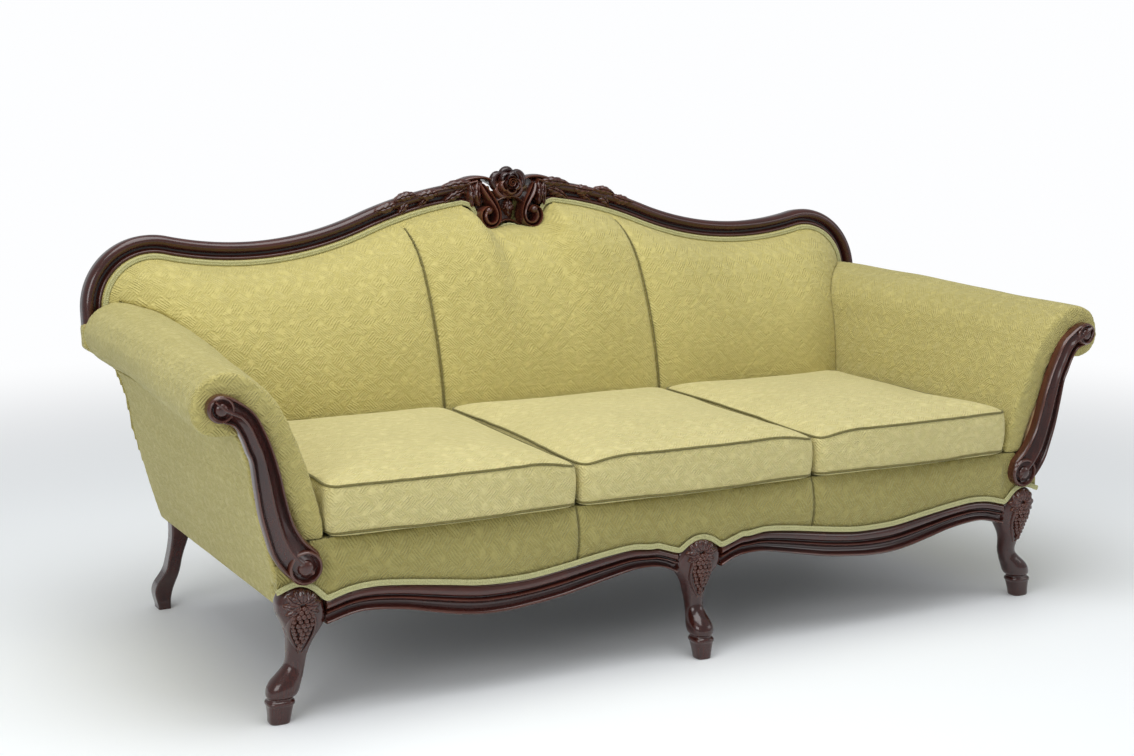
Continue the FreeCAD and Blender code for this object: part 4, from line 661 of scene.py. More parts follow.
KNEE = 226
GRAPE_ROWS = [
    (220, 3, 12, 5), (213, 4, 15, 6), (205, 5, 18, 7), (197, 4, 16, 8), (189, 5, 17, 8), (181, 4, 14, 8),
    (173, 3, 11, 7), (165, 3, 9, 6), (157, 2, 5, 5), (150, 1, 0, 4), (143, 1, 0, 2.5)]
for side, levels, way, middle, drift_x, rise in (("left", CORNER_LEG, -1, -840, 0.10, 0),
                                                 ("right", CORNER_LEG, 1, 840, -0.10, 0),
                                                 ("centre", CENTRE_LEG, 1, 0, 0.0, -9)):
    leg = carved("cabriole_leg_" + side, cabriole(levels, way), 60)
    fitted(leg, ["front_leg_" + side], LEG_WOOD)
    spot = face_of(leg)
    grapes = []
    for z, number, half, lift in GRAPE_ROWS:
        shift_x = middle + drift_x * (200 - z) * -0.6
        for t in np.linspace(-1, 1, number) if number > 1 else (0.0,):
            grapes.append(spot(shift_x + t * half, z + rise, lift * (1 - 0.7 * t * t) * 0.6 + 1.0))
    grape_net = bpy.data.meshes.new("grapes")
    grape_net.from_pydata([(x / 1000, y / 1000, z / 1000) for x, y, z in grapes], [], [])
    bunch = worked_out("knee_grapes_" + side, grape_net, BERRIES, {"Berry Radius": 0.0054, "Wood": LEG_WOOD})
    fitted(bunch, [], LEG_WOOD)
    leaves = []
    for heading, length, width, bend in ((90, 31, 21, 0), (64, 31, 18, -2), (116, 31, 18, 2), (36, 34, 19, -3),
                                         (144, 34, 19, 3), (2, 36, 19, -3), (178, 36, 19, 3), (-28, 35, 17, -3),
                                         (208, 35, 17, 3)):
        turn = math.radians(heading)
        base = (middle + 6 * math.cos(turn), KNEE + rise + 4 * math.sin(turn))
        tip = (middle + length * math.cos(turn), KNEE + rise + length * math.sin(turn))
        leaves.append(carved_leaf(base, tip, width, 1.0, 7.5, spot, bend, 3, 15))
    for sign in (-1, 1):
        leaves.append(carved_band([(middle + sign * 4, 222 + rise, 3, 6), (middle + sign * 20, 205 + rise, 4, 6),
                                   (middle + sign * 23, 180 + rise, 3.6, 5), (middle + sign * 15, 155 + rise, 2.8, 4),
                                   (middle + sign * 3, 132 + rise, 2, 2)], ROUND, spot, 36, -3))
    fitted(carved("knee_leaves_" + side, joined(*leaves), 50), [], CARVED_MAHOGANY)

# Arm facings
# An S-shaped moulded mahogany board covers each arm's front: a ridge down its middle between two
# edge beads, curling round a small eye at the top and a large button at the foot.
ARM_LEAN = math.radians(3.43)


def on_arm(x, z, forward):
    """A place on the board's plane, which leans forward, and a distance before it."""
    up = z - 297
    return (x, -430 - up * math.sin(ARM_LEAN) - forward * math.cos(ARM_LEAN),
            297 + up * math.cos(ARM_LEAN) - forward * math.sin(ARM_LEAN))


FACING_OUTER = [
    (1005, 604), (1000, 583), (982, 573), (964, 566), (950, 545), (939, 516), (931, 495), (925, 450),
    (917, 400), (906, 357), (894, 320), (875, 290), (856, 273), (838, 265)]
FACING_INNER = [
    (985, 622), (968, 620), (945, 606), (922, 585), (905, 553), (890, 515), (878, 475), (868, 430), (857, 390),
    (845, 365), (832, 346), (818, 332), (809, 322), (804, 308)]
FACING_MOULD = [
    (0.0, 0), (0.0, 14), (0.02, 18.5), (0.06, 21), (0.10, 20), (0.13, 15), (0.155, 12.5), (0.20, 13.8),
    (0.29, 16.4), (0.38, 19.2), (0.44, 22.6), (0.475, 24.6), (0.505, 24.9), (0.535, 24.0), (0.58, 20.6),
    (0.66, 17.2), (0.76, 14.6), (0.845, 12.5), (0.87, 15), (0.90, 20), (0.94, 21), (0.98, 18.5), (1.0, 14),
    (1.0, 0)]
UPPER_EYE = [
    (25, 0), (25, 15), (24, 19), (21.5, 21.5), (19, 20.5), (17.5, 16), (15.5, 14), (13, 15), (12, 19),
    (9.5, 22.5), (5, 24), (0.3, 24.4)]
FOOT_BUTTON = [
    (33, 0), (33, 16), (32, 20.5), (29.5, 23.5), (26.5, 23), (24.5, 18), (22.5, 14.5), (19, 13.5), (15.5, 15),
    (14.5, 20), (12, 23.5), (6, 25.5), (0.3, 26)]


def turned_button(middle, rings, place, count=40):
    """A round turned boss from rings of radius and depth."""
    return skin([[place(middle[0] + radius * math.cos(a), middle[1] + radius * math.sin(a), depth)
                  for a in turns(count)] for radius, depth in rings])


outer = smooth_line(FACING_OUTER, 110)
inner = smooth_line(FACING_INNER, 110)
board = [[on_arm(*(a + (b - a) * share), depth) for share, depth in FACING_MOULD] for a, b in zip(outer, inner)]
facing = joined(skin(board), turned_button((984, 598), UPPER_EYE, on_arm),
                turned_button((835, 297), FOOT_BUTTON, on_arm))
FACING_WOOD = show_wood("facing_mahogany", wear=0.7, turn=(0.0, math.radians(75), 0.0))
for side, shape in both_sides(facing):
    fitted(carved("arm_facing_moulded_" + side, shape, 48), ["arm_facing_" + side], FACING_WOOD)

# Woven matelasse cover
# Olive and cream yarns woven into a quilted cloth: basket blocks of fine ribs on the slant, small
# raised sprigs between them; colour lighter on the raised relief, partly cream yarn, partly painted highlight and
# shade.


def matelasse_group():
    """Quilted blocks of slanting ribs with small raised sprigs, in two colours of yarn; the raised relief is painted
    lighter as painted highlight and its hollows darker as painted shade.
    """
    group, given, add = group_of("woven_matelasse", (
        ("Place", "Vector", None), ("Cream", "Color", (0.50, 0.47, 0.20, 1)),
        ("Olive", "Color", (0.25, 0.23, 0.075, 1)), ("Sprig", "Float", 1.0)), SURFACE)

    def sum_of(operation, *terms):
        return worked(add, operation, *terms)

    def fuzz(place, scale, detail):
        return add("ShaderNodeTexNoise", {"Vector": place, "Scale": scale, "Detail": detail}).outputs

    drift = fuzz(given["Place"], 30.0, 1)["Color"]
    shift = add("ShaderNodeVectorMath", {0: drift, "Scale": 0.008}, operation="SCALE")
    moved = add("ShaderNodeVectorMath", {0: given["Place"], 1: shift.outputs[0]}, operation="ADD").outputs[0]
    slant = add("ShaderNodeMapping", {"Vector": moved, "Rotation": (0, 0, math.radians(45)),
                                      "Scale": (1 / 0.029, 1 / 0.029, 1)})
    halves = add("ShaderNodeSeparateXYZ", {0: slant.outputs[0]})
    p, q = halves.outputs[0], halves.outputs[1]
    block = sum_of("FLOORED_MODULO", sum_of("ADD", sum_of("FLOOR", p), sum_of("FLOOR", q)), 2.0)
    rib_p = sum_of("SINE", sum_of("MULTIPLY", p, 2 * math.pi * 6))
    rib_q = sum_of("SINE", sum_of("MULTIPLY", q, 2 * math.pi * 6))
    rib = sum_of("MULTIPLY_ADD", block, sum_of("SUBTRACT", rib_q, rib_p), rib_p)
    joint = stepped(add, sum_of("MINIMUM", sum_of("PINGPONG", p, 0.5), sum_of("PINGPONG", q, 0.5)), 0.0, 0.11)
    sprigs = add("ShaderNodeTexVoronoi", {"Vector": moved, "Scale": 38.0, "Randomness": 0.85}).outputs["Distance"]
    petals = add("ShaderNodeTexVoronoi", {"Vector": moved, "Scale": 150.0}).outputs["Distance"]
    dome = sum_of("MULTIPLY", sum_of("SUBTRACT", 1.0, stepped(add, sprigs, 0.08, 0.36)), given["Sprig"])
    tuft = sum_of("SUBTRACT", 1.0, stepped(add, petals, 0.1, 0.75))
    yarn = fuzz(moved, 900.0, 2)["Fac"]
    shade = fuzz(given["Place"], 5.0, 3)["Fac"]
    ribs = sum_of("MULTIPLY", sum_of("MULTIPLY_ADD", rib, 0.5, 0.5), joint)
    plain = sum_of("SUBTRACT", 1.0, dome)
    stretch = add("ShaderNodeMapping", {"Vector": given["Place"], "Scale": (0.66, 1.35, 1)})
    pucker = fuzz(stretch.outputs[0], 88.0, 3)["Fac"]
    creased = sum_of("MULTIPLY", stepped(add, pucker, 0.44, 0.60), 0.62)
    quilt = sum_of("MULTIPLY_ADD", ribs, 0.85, creased)
    relief = sum_of("MULTIPLY_ADD", quilt, plain, sum_of("MULTIPLY", dome, sum_of("MULTIPLY_ADD", tuft, 0.6, 0.8)))
    # Colour follows the relief: raised ribs, sprigs and puckers painted lighter as painted highlight, hollows darker
    # as painted shade, over the two yarns and a random tone.
    cream_and_highlight_share = sum_of("MULTIPLY_ADD", relief, 0.24, sum_of("MULTIPLY_ADD", shade, 0.36, 0.06))
    cream_and_highlight_share = sum_of("MULTIPLY_ADD", yarn, 0.26, cream_and_highlight_share)
    colour = mixed_colour(add, sum_of("MULTIPLY_ADD", block, 0.03, cream_and_highlight_share), given["Olive"], given["Cream"])
    rough = add("ShaderNodeMapRange", {"Value": relief, "To Min": 0.78, "To Max": 0.58})
    add("NodeGroupOutput", {"Color": colour, "Roughness": rough.outputs[0],
                            "Height": sum_of("MULTIPLY_ADD", yarn, 0.16, relief)})
    return group


WOVEN_MATELASSE = matelasse_group()


def matelasse(name, cream, olive, depth=0.0021, sprig=1.0):
    """The cover in two yarn colours given per copy, some copies brightened or darkened as painted light and shade;
    the weave follows the piece's own map.
    """
    material = bpy.data.materials.new(name)
    add = nodes_of(material)
    where = add("ShaderNodeUVMap", uv_map="weave")
    cloth = add("ShaderNodeGroup", {"Place": where.outputs[0], "Cream": (*cream, 1), "Olive": (*olive, 1),
                                    "Sprig": sprig}, node_tree=WOVEN_MATELASSE)
    surfaced(add, cloth.outputs["Color"], cloth.outputs["Roughness"], cloth.outputs["Height"], (0.8, depth),
             {"Specular IOR Level": 0.28, "Sheen Weight": 0.30, "Sheen Roughness": 0.45,
              "Sheen Tint": (0.85, 0.85, 0.6, 1)})
    return material


COVER = matelasse("matelasse_cover", (0.56, 0.49, 0.185), (0.30, 0.255, 0.070))
# The back's copy of the cover: the same cloth, made brighter as painted light.
BACK_COVER_PAINTED_LIGHT = matelasse("matelasse_back_cover_painted_light", (0.62, 0.54, 0.200), (0.34, 0.29, 0.080))
# The border's copy of the cover: the same cloth, made darker as painted shade under the cushions.
BORDER_COVER_PAINTED_SHADE = matelasse("matelasse_border_cover", (0.42, 0.37, 0.130), (0.225, 0.190, 0.052))
# The cushions' copy of the cover: the same cloth, made brighter as painted light on the tops.
CUSHION_COVER_PAINTED_LIGHT = matelasse("matelasse_cushion_cover", (0.74, 0.66, 0.32), (0.42, 0.365, 0.13))
# The cords' copy of the cover: the same cloth, made much darker as painted shade in the seams.
CORD_COVER_PAINTED_SHADE = matelasse("seam_cord_cover_painted_shade", (0.20, 0.175, 0.055), (0.10, 0.085, 0.024), 0.0006, 0.0)


def points_of(mesh):
    spots = np.empty(len(mesh.vertices) * 3)
    mesh.vertices.foreach_get("co", spots)
    return spots.reshape(-1, 3)


def set_points(mesh, spots):
    mesh.vertices.foreach_set("co", np.ascontiguousarray(spots, dtype=np.float32).ravel())
    mesh.update()


def normals_of(mesh):
    ways = np.empty(len(mesh.vertices) * 3, np.float32)
    mesh.vertex_normals.foreach_get("vector", ways)
    return ways.reshape(-1, 3).astype(float)


def softened(mesh, passes, share=0.5):
    """Rounds a mesh by drawing each point towards its neighbours."""
    spots = points_of(mesh)
    ends = np.empty(len(mesh.edges) * 2, np.int32)
    mesh.edges.foreach_get("vertices", ends)
    a, b = ends.reshape(-1, 2).T
    degree = np.bincount(a, minlength=len(spots)) + np.bincount(b, minlength=len(spots))
    for _ in range(passes):
        total = np.stack([np.bincount(a, spots[b, k], len(spots)) + np.bincount(b, spots[a, k], len(spots))
                          for k in range(3)], axis=1)
        spots = spots + share * (total / degree[:, None] - spots)
    set_points(mesh, spots)


def evenly_divided(node, name, fineness, rounding):
    """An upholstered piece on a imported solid: an even closed net of its surface, edges rounded."""
    mesh = bpy.data.objects[node].data.copy()
    mesh.materials.clear()
    work = bmesh.new()
    work.from_mesh(mesh)
    bmesh.ops.remove_doubles(work, verts=work.verts, dist=0.00005)
    work.to_mesh(mesh)
    work.free()
    rough = shown(name + "_rough", mesh)
    net = rough.modifiers.new("net", "REMESH")
    net.mode = "VOXEL"
    net.voxel_size = fineness
    even = result_of(rough)
    even.name = name
    bpy.data.objects.remove(rough)
    softened(even, rounding)
    return shown(name, even)


def lay_weave(mesh, spot_of):
    """Gives a mesh its map in metres of cloth, from each corner's place and its face's direction."""
    spots = points_of(mesh)
    corner = np.empty(len(mesh.loops), np.int32)
    mesh.loops.foreach_get("vertex_index", corner)
    ways = np.empty(len(mesh.polygons) * 3, np.float32)
    mesh.polygons.foreach_get("normal", ways)
    sizes = np.empty(len(mesh.polygons), np.int32)
    mesh.polygons.foreach_get("loop_total", sizes)
    face_way = np.repeat(ways.reshape(-1, 3), sizes, axis=0)
    layer = mesh.uv_layers.new(name="weave")
    layer.data.foreach_set("uv", spot_of(spots[corner], face_way).astype(np.float32).ravel())


def box_weave(spots, ways):
    """Cloth cut in flat panels: each face takes the two directions it lies along."""
    x, y, z = spots.T
    across = np.argmax(np.abs(ways), axis=1)
    u = np.where(across == 0, y, x)
    v = np.where(across == 2, y, z)
    return np.c_[u, v + 0.013 * across]


def front_weave(spots, ways):
    """Cloth hung on an upright panel, measured up along its lean."""
    return np.c_[spots[:, 0], np.hypot(spots[:, 2], spots[:, 1] * 0.6) * np.sign(spots[:, 2])]


def side_weave(spots, ways):
    return spots[:, 1:3]


def swell(mesh, amount_of, facing=None):
    """Moves each point along its own direction by the amount given for its place, in metres."""
    spots, ways = points_of(mesh), normals_of(mesh)
    share = 1.0 if facing is None else np.clip((ways @ np.array(facing) - 0.25) / 0.5, 0, 1)
    set_points(mesh, spots + ways * (amount_of(spots) * share)[:, None])


def wavering(spots, scale, seed):
    """Slow uneven ripples, from -1 to 1, as in stuffing of uneven firmness."""
    return np.array([noise.noise(Vector((x * scale + seed, y * scale, z * scale))) for x, y, z in spots])


def covered(piece, weave, nodes, cover, body="frame"):
    """Cloth laid smoothly over a finished shape."""
    lay_weave(piece.data, weave)
    piece.data.shade_smooth()
    return fitted(piece, nodes, cover, body)


# Tight back
# Three panels of cover sewn together and pulled over webbing and stuffing, upright behind the
# cushions, then leaning back and rolling in under the crest rail.
for side in ("left", "centre", "right"):
    panel = evenly_divided("inside_back_" + side, "back_panel_" + side, 0.005, 2)
    low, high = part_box("inside_back_" + side)

    def back_stuffing(spots, low=low, high=high):
        edge = np.minimum(spots[:, 0] - low[0], high[0] - spots[:, 0])
        seam = -0.0035 * np.exp(-(np.abs(np.abs(spots[:, 0]) - 0.277) / 0.009) ** 2)
        middle = 0.005 * np.clip(edge / 0.12, 0, 1)
        return (seam + middle + 0.0028 * wavering(spots, 5.0, 3.0)) * (spots[:, 2] > 0.36)
    swell(panel.data, back_stuffing, (0, -0.97, 0.24))
    softened(panel.data, 1)
    # The back panels take the brighter copy of the cover: painted light.
    covered(panel, front_weave, ["inside_back_" + side], BACK_COVER_PAINTED_LIGHT)

# Rolled edge and corners of the back
# The cover turned over a stuffed edge under the crest rail, behind its gimp, and wrapped round the
# two beech posts where the back meets the arms. Tacked to the frame behind.
ROLL_SECTION = [(-18, 8), (-18, 30), (-22, 37.6), (-32.5, 38.2), (-38, 46), (-46, 57), (-50, 58), (-50, 8)]
roll_rows = []
for (x, height), (out_x, out_h) in zip(*crest_line(85.0, 664.0)):
    if x < 122:
        continue
    roll_rows.append([on_back(x + u * out_x, height + u * out_h, f) for u, f in ROLL_SECTION])
for side, shape in both_sides(skin(roll_rows)):
    lap = carved("back_edge_roll_" + side, shape, 60)
    lay_weave(lap.data, front_weave)
    # The rolled edge takes the brighter copy of the cover: painted light.
    fitted(lap, [], BACK_COVER_PAINTED_LIGHT)
for side in ("left", "right"):
    corner = evenly_divided("back_post_" + side, "back_corner_cover_" + side, 0.005, 1)
    swell(corner.data, lambda spots: np.full(len(spots), 0.0030))
    covered(corner, front_weave, [], COVER)

# Outside back
# One plain panel of the same cover, stretched and tacked over the back of the frame.
# Its edges are turned in along the rail and the posts.
back_cloth = evenly_divided("outside_back", "outside_back_panel", 0.006, 1)
swell(back_cloth.data, lambda spots: -0.0010 + 0.0008 * wavering(spots, 7.0, 9.0))
covered(back_cloth, front_weave, ["outside_back"], COVER)

# Stuffed arms
# Cover pulled over each arm's rail and roll, tacked round the carved facing in small puckers and
# sewn blind under the roll, with a plain tacked panel outside.
ARM_LINE = np.array([
    (0.790, 0.340), (0.800, 0.395), (0.812, 0.454), (0.832, 0.521), (0.856, 0.579), (0.886, 0.630),
    (0.925, 0.664), (0.985, 0.668), (1.020, 0.640), (1.030, 0.600), (1.015, 0.560), (0.970, 0.545)])


def arm_weave(spots, ways):
    """Cloth run over the arm from the seat, round the roll to its blind seam."""
    line = smooth_line(ARM_LINE, 160)
    run = np.r_[0, np.cumsum(np.linalg.norm(np.diff(line, axis=0), axis=1))]
    flat = np.c_[np.abs(spots[:, 0]), spots[:, 2]]
    nearest = np.concatenate([np.argmin(((part[:, None] - line[None]) ** 2).sum(2), axis=1)
                              for part in np.array_split(flat, 60)])
    step = np.gradient(line, axis=0)
    step /= np.linalg.norm(step, axis=1)[:, None]
    beyond = ((flat - line[nearest]) * step[nearest]).sum(1)
    front = np.abs(ways[:, 1]) > 0.62
    return np.where(front[:, None], spots[:, [0, 2]], np.c_[spots[:, 1], run[nearest] + beyond])


for side, sign in (("left", -1), ("right", 1)):
    pad = evenly_divided("arm_pad_" + side, "arm_stuffing_" + side, 0.006, 4)

    def arm_stuffing(spots):
        flat = np.c_[np.abs(spots[:, 0]) - 0.965, spots[:, 2] - 0.60]
        turn = np.arctan2(flat[:, 1], flat[:, 0])
        puckers = 0.0005 * np.sin(turn * 26 + 2 * np.sin(turn * 5)) * np.exp(-(spots[:, 1] + 0.445) / 0.035)
        return puckers + 0.0012 + 0.0028 * wavering(spots, 6.0, 5.0 + sign)
    swell(pad.data, arm_stuffing)
    softened(pad.data, 1)
    covered(pad, arm_weave, ["arm_pad_" + side], COVER)
    panel = evenly_divided("outside_arm_" + side, "outside_arm_panel_" + side, 0.006, 2)
    swell(panel.data, lambda spots: 0.0006 + 0.0010 * wavering(spots, 8.0, 2.0))
    covered(panel, side_weave, ["outside_arm_" + side], COVER)

# Seat border
# A stuffed strip of cover between the cushions and the moulded rail, sewn in three lengths and
# pulled full over the front edge of the deck.
LEG_ARCH = smooth_line([
    (791.5, 226), (798, 229), (806, 236), (816, 246), (830, 255.5), (846, 259.5), (862, 256.5), (872, 253),
    (879, 250), (884, 248.5)], 120)


def border_foot(x):
    """Where the border ends: at the rail's top edge, and arching up over the corner legs."""
    x = abs(x)
    return rail_top(x) if x < 791.5 else float(np.interp(x, LEG_ARCH[:, 0], LEG_ARCH[:, 1]))


def border_front(x, t):
    """How far the border stands forward: full along the rail, flat beside the arm's facing."""
    flat = np.clip((abs(x) - 772) / 26, 0, 1)
    flat = flat * flat * (3 - 2 * flat)
    full = (math.sin(math.pi * (0.06 + 0.90 * t))) ** 0.6
    return 421.5 + 19.5 * full * (1 - flat) + 10.5 * flat


CUSHION_JOINT = 277.0
for name, start, end in (("left", -884, -CUSHION_JOINT - 0.4), ("centre", 0.4 - CUSHION_JOINT, CUSHION_JOINT - 0.4),
                         ("right", CUSHION_JOINT + 0.4, 884)):
    rows = []
    for x in np.linspace(start, end, int((end - start) / 5)):
        foot = border_foot(x) + 1.5
        head = 339.5 - 40 * np.clip((abs(x) - 822) / 12, 0, 1)
        drawn = 5.5 * math.exp(-min(abs(abs(x) - CUSHION_JOINT), 60) / 5.0)
        bumps = 0.8 * noise.noise(Vector((x * 0.012, 3.0, 0.0)))
        rows.append([(x, -border_front(x, t) - bumps + drawn, foot + (head - foot) * t)
                     for t in np.linspace(0, 1, 17)] + [(x, -412.5, head), (x, -412.5, foot)])
    strip = carved("border_" + name, skin(rows), 60)
    lay_weave(strip.data, front_weave)
    # The border takes the darker copy of the cover: painted shade under the overhanging cushions.
    fitted(strip, ["front_border_" + name], BORDER_COVER_PAINTED_SHADE)

# Seam cords of the back and the border
# Thin cords of the same cover, darkened as painted shade, sewn in where two panels meet: two down the back and two
# down the border, in line with the joints between the cushions.
seam_lines = []
for sign in (-1, 1):
    foot = rail_top(CUSHION_JOINT) + 1.5
    seam_lines.append([(CUSHION_JOINT * sign, -border_front(CUSHION_JOINT, t) + 3.4, foot + (339.0 - foot) * t)
                       for t in np.linspace(0, 1, 24)])
    outer = bpy.data.objects["back_panel_" + ("left" if sign < 0 else "right")].data
    net = net_of(outer)
    line = []
    for z in np.linspace(0.41, 0.833, 60):
        hits = [net.ray_cast(Vector(((0.2795 + step) * sign, -0.3, z)), Vector((0, 1, 0)))[0]
                for step in (0.0, 0.004, 0.008)]
        if hits[2] is not None:
            line.append((277.3 * sign, min(hit.y for hit in hits if hit is not None) * 1000 + 1.0, z * 1000))
    line = np.array(line)
    for _ in range(3):
        line[1:-1] = (line[:-2] + 2 * line[1:-1] + line[2:]) / 4
    seam_lines.append(line)


def thin_cord(points, radius, sides=7):
    """A round cord along an open line of millimetre points that stands in a side view."""
    points = np.array(points, float)
    way = np.gradient(points, axis=0)
    way /= np.linalg.norm(way, axis=1)[:, None]
    out = np.cross(way, (1, 0, 0))
    rows = [points + radius * (math.cos(a) * ACROSS + math.sin(a) * out) for a in turns(sides)]
    return skin(np.stack(rows, axis=1))


seam_cords = carved("seam_cords", joined(*[thin_cord(line, 1.7) for line in seam_lines]), 80)
lay_weave(seam_cords.data, front_weave)
# The seam cords take the darkest copy of the cover: painted shade.
fitted(seam_cords, [], CORD_COVER_PAINTED_SHADE)

# Loose seat cushions
# Three boxed cushions, cover sewn round feather and foam, a self-covered cord in both seams. The
# tops swell, the fronts bulge, and the seams sink a little where two cushions meet.


def swollen(piece, pressure, cap, seams):
    """Blows a cushion up as cloth under pressure, held along its seams, and caps how far it moves."""
    start = points_of(piece.data)
    held = piece.vertex_groups.new(name="seams")
    for share in (0.25, 0.5, 1.0):
        chosen = np.nonzero(np.isclose(np.ceil(seams * 4) / 4, share))[0]
        held.add([int(i) for i in chosen], share, "REPLACE")
    cloth = piece.modifiers.new("cloth", "CLOTH")
    for key, value in dict(quality=4, mass=0.25, tension_stiffness=18, compression_stiffness=12, shear_stiffness=8,
                           bending_stiffness=1.2, use_pressure=True, uniform_pressure_force=pressure,
                           vertex_group_mass="seams").items():
        setattr(cloth.settings, key, value)
    cloth.settings.effector_weights.gravity = 0
    cloth.collision_settings.use_collision = False
    cloth.point_cache.frame_start = 1
    cloth.point_cache.frame_end = 20
    for step in range(1, 21):
        scene.frame_set(step)
    moved = result_of(piece)
    change = points_of(moved) - start
    reach = np.linalg.norm(change, axis=1)
    change *= np.minimum(1, cap / np.maximum(reach, 1e-9))[:, None]
    piece.modifiers.clear()
    piece.vertex_groups.clear()
    bpy.data.meshes.remove(moved)
    scene.frame_set(1)
    set_points(piece.data, start + change)


def seam_drop(x, y):
    """How far the top seam sinks beside a joint between two cushions, near the front, in metres."""
    near_front = np.clip((0.02 - y) / 0.40, 0, 1)
    return -0.0125 * np.exp(-((np.abs(x) - 0.277) / 0.055) ** 2) * near_front


def seam_ring(mesh, level, count=300):
    """A cushion's outline at a level, as points round its middle."""
    spots = points_of(mesh)
    ring = spots[np.abs(spots[:, 2] - level) < 0.004]
    middle = ((ring[:, 0].min() + ring[:, 0].max()) / 2, (ring[:, 1].min() + ring[:, 1].max()) / 2)
    half = ((ring[:, 0].max() - ring[:, 0].min()) / 2, (ring[:, 1].max() - ring[:, 1].min()) / 2)
    flat = (ring[:, :2] - middle) / half
    turn, reach = np.arctan2(flat[:, 1], flat[:, 0]), np.hypot(flat[:, 0], flat[:, 1])
    outer = []
    for a in np.linspace(-math.pi, math.pi, count, endpoint=False):
        near = np.abs((turn - a + math.pi) % (2 * math.pi) - math.pi) < 0.03
        outer.append(reach[near].max() if near.any() else np.nan)
    outer = np.array(outer)
    known = ~np.isnan(outer)
    outer = np.interp(np.arange(count), np.nonzero(known)[0], outer[known])
    angles = np.linspace(-math.pi, math.pi, count, endpoint=False)
    spots = np.c_[middle[0] + half[0] * outer * np.cos(angles), middle[1] + half[1] * outer * np.sin(angles)]
    for _ in range(2):
        spots = (np.roll(spots, 1, 0) + 2 * spots + np.roll(spots, -1, 0)) / 4
    return spots


def cord_round(points, radius, sides=8):
    """A closed round cord along a ring of millimetre points."""
    way = np.roll(points, -1, 0) - np.roll(points, 1, 0)
    way /= np.linalg.norm(way, axis=1)[:, None]
    side = np.cross(way, (0, 0, 1))
    side /= np.linalg.norm(side, axis=1)[:, None]
    up = np.cross(side, way)
    rows = np.array([points + radius * (math.cos(a) * side + math.sin(a) * up) for a in turns(sides)])
    count = len(points)
    faces = [(i * count + j, i * count + (j + 1) % count, ((i + 1) % sides) * count + (j + 1) % count,
              ((i + 1) % sides) * count + j) for i in range(sides) for j in range(count)]
    return rows.reshape(-1, 3), faces


for side in ("left", "centre", "right"):
    node, body = "seat_cushion_" + side, "cushion_" + side
    low, high = np.array(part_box(node)[0]), np.array(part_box(node)[1])
    cushion = evenly_divided(node, "cushion_cover_" + side, 0.0075, 1)
    spots = points_of(cushion.data)
    top_level, foot_level = 0.4345, 0.3440
    top_ring, foot_ring = seam_ring(cushion.data, top_level), seam_ring(cushion.data, foot_level + 0.004)
    crown = spots[:, 2] > top_level
    spots[crown, 2] = top_level + (spots[crown, 2] - top_level) * 0.72
    middle = (low + high) / 2
    share = np.clip((spots[:, 2] - foot_level) / (top_level - foot_level), 0, 1)
    spots[:, 2] += seam_drop(spots[:, 0], spots[:, 1]) * share
    set_points(cushion.data, spots)
    rise = np.minimum(np.abs(spots[:, 2] - (top_level + seam_drop(spots[:, 0], spots[:, 1]))),
                      np.abs(spots[:, 2] - foot_level))
    ring_reach = np.minimum(np.minimum(spots[:, 0] - low[0], high[0] - spots[:, 0]),
                            np.minimum(spots[:, 1] - low[1], high[1] - spots[:, 1]))
    seams = np.clip(1.25 - rise / 0.006, 0, 1) * (ring_reach < 0.020)
    swollen(cushion, 4.0, 0.011, seams)
    spots = points_of(cushion.data)
    spots[:, 2] = np.maximum(spots[:, 2], low[2] + 0.0003)
    spots[:, 2] -= np.maximum(spots[:, 2] - high[2], 0) * 0.7
    spots[:, 0] = np.clip(spots[:, 0], low[0] + 0.0008, high[0] - 0.0008)
    spots[:, 1] = np.clip(spots[:, 1], low[1] - 0.008, high[1] - 0.001)
    set_points(cushion.data, spots)
    softened(cushion.data, 2)
    swell(cushion.data, lambda s: 0.0022 * wavering(s, 7.0, 11.0) * (s[:, 2] > foot_level + 0.01))
    spots = points_of(cushion.data)
    spots[:, 2] = np.maximum(spots[:, 2], low[2] + 0.0002)
    spots[:, 0] = np.clip(spots[:, 0], low[0] + 0.0004, high[0] - 0.0004)
    set_points(cushion.data, spots)
    finer = cushion.modifiers.new("finer", "SUBSURF")
    finer.levels = finer.render_levels = 1
    fine = result_of(cushion)
    cushion.modifiers.clear()
    cushion.data = fine
    # The cushions take the brighter copy of the cover: painted light.
    covered(cushion, box_weave, [node], CUSHION_COVER_PAINTED_LIGHT, body)
    surface = net_of(fine)
    cords = []
    for ring, level, lift in ((top_ring, top_level, 1), (foot_ring, foot_level, 0)):
        line = []
        for x, y in ring:
            out = Vector((x - middle[0], y - middle[1], 0))
            out = Vector((math.copysign(1, out.x) * (abs(out.x) > high[0] - middle[0] - 0.03),
                          math.copysign(1, out.y) * (abs(out.y) > high[1] - middle[1] - 0.03), 0.9 * lift))
            height = level + (seam_drop(x, y) if lift else 0.0)
            near = surface.find_nearest(Vector((x, y, height + 0.004 * lift)) + out.normalized() * 0.010)
            spot = near[0] + near[1] * 0.0011
            line.append((min(max(spot.x, low[0] + 0.0036), high[0] - 0.0036), min(spot.y, high[1] - 0.0036),
                         spot.z))
        line = np.array(line) * 1000
        for _ in range(3):
            line = (np.roll(line, 1, 0) + 2 * line + np.roll(line, -1, 0)) / 4
        cords.append(cord_round(line, 2.7))
    piping = carved("cushion_cord_" + side, joined(*cords), 80)
    lay_weave(piping.data, box_weave)
    # The piping takes the darkest copy of the cover: painted shade along the seams.
    fitted(piping, [], CORD_COVER_PAINTED_SHADE, body)

# Gimp braid
# A narrow woven braid glued over the tacks: along the top of the moulded rail, up over each front
# leg, and along the inner edge of the crest rail. Two rows of slanting loops on a flat tape.


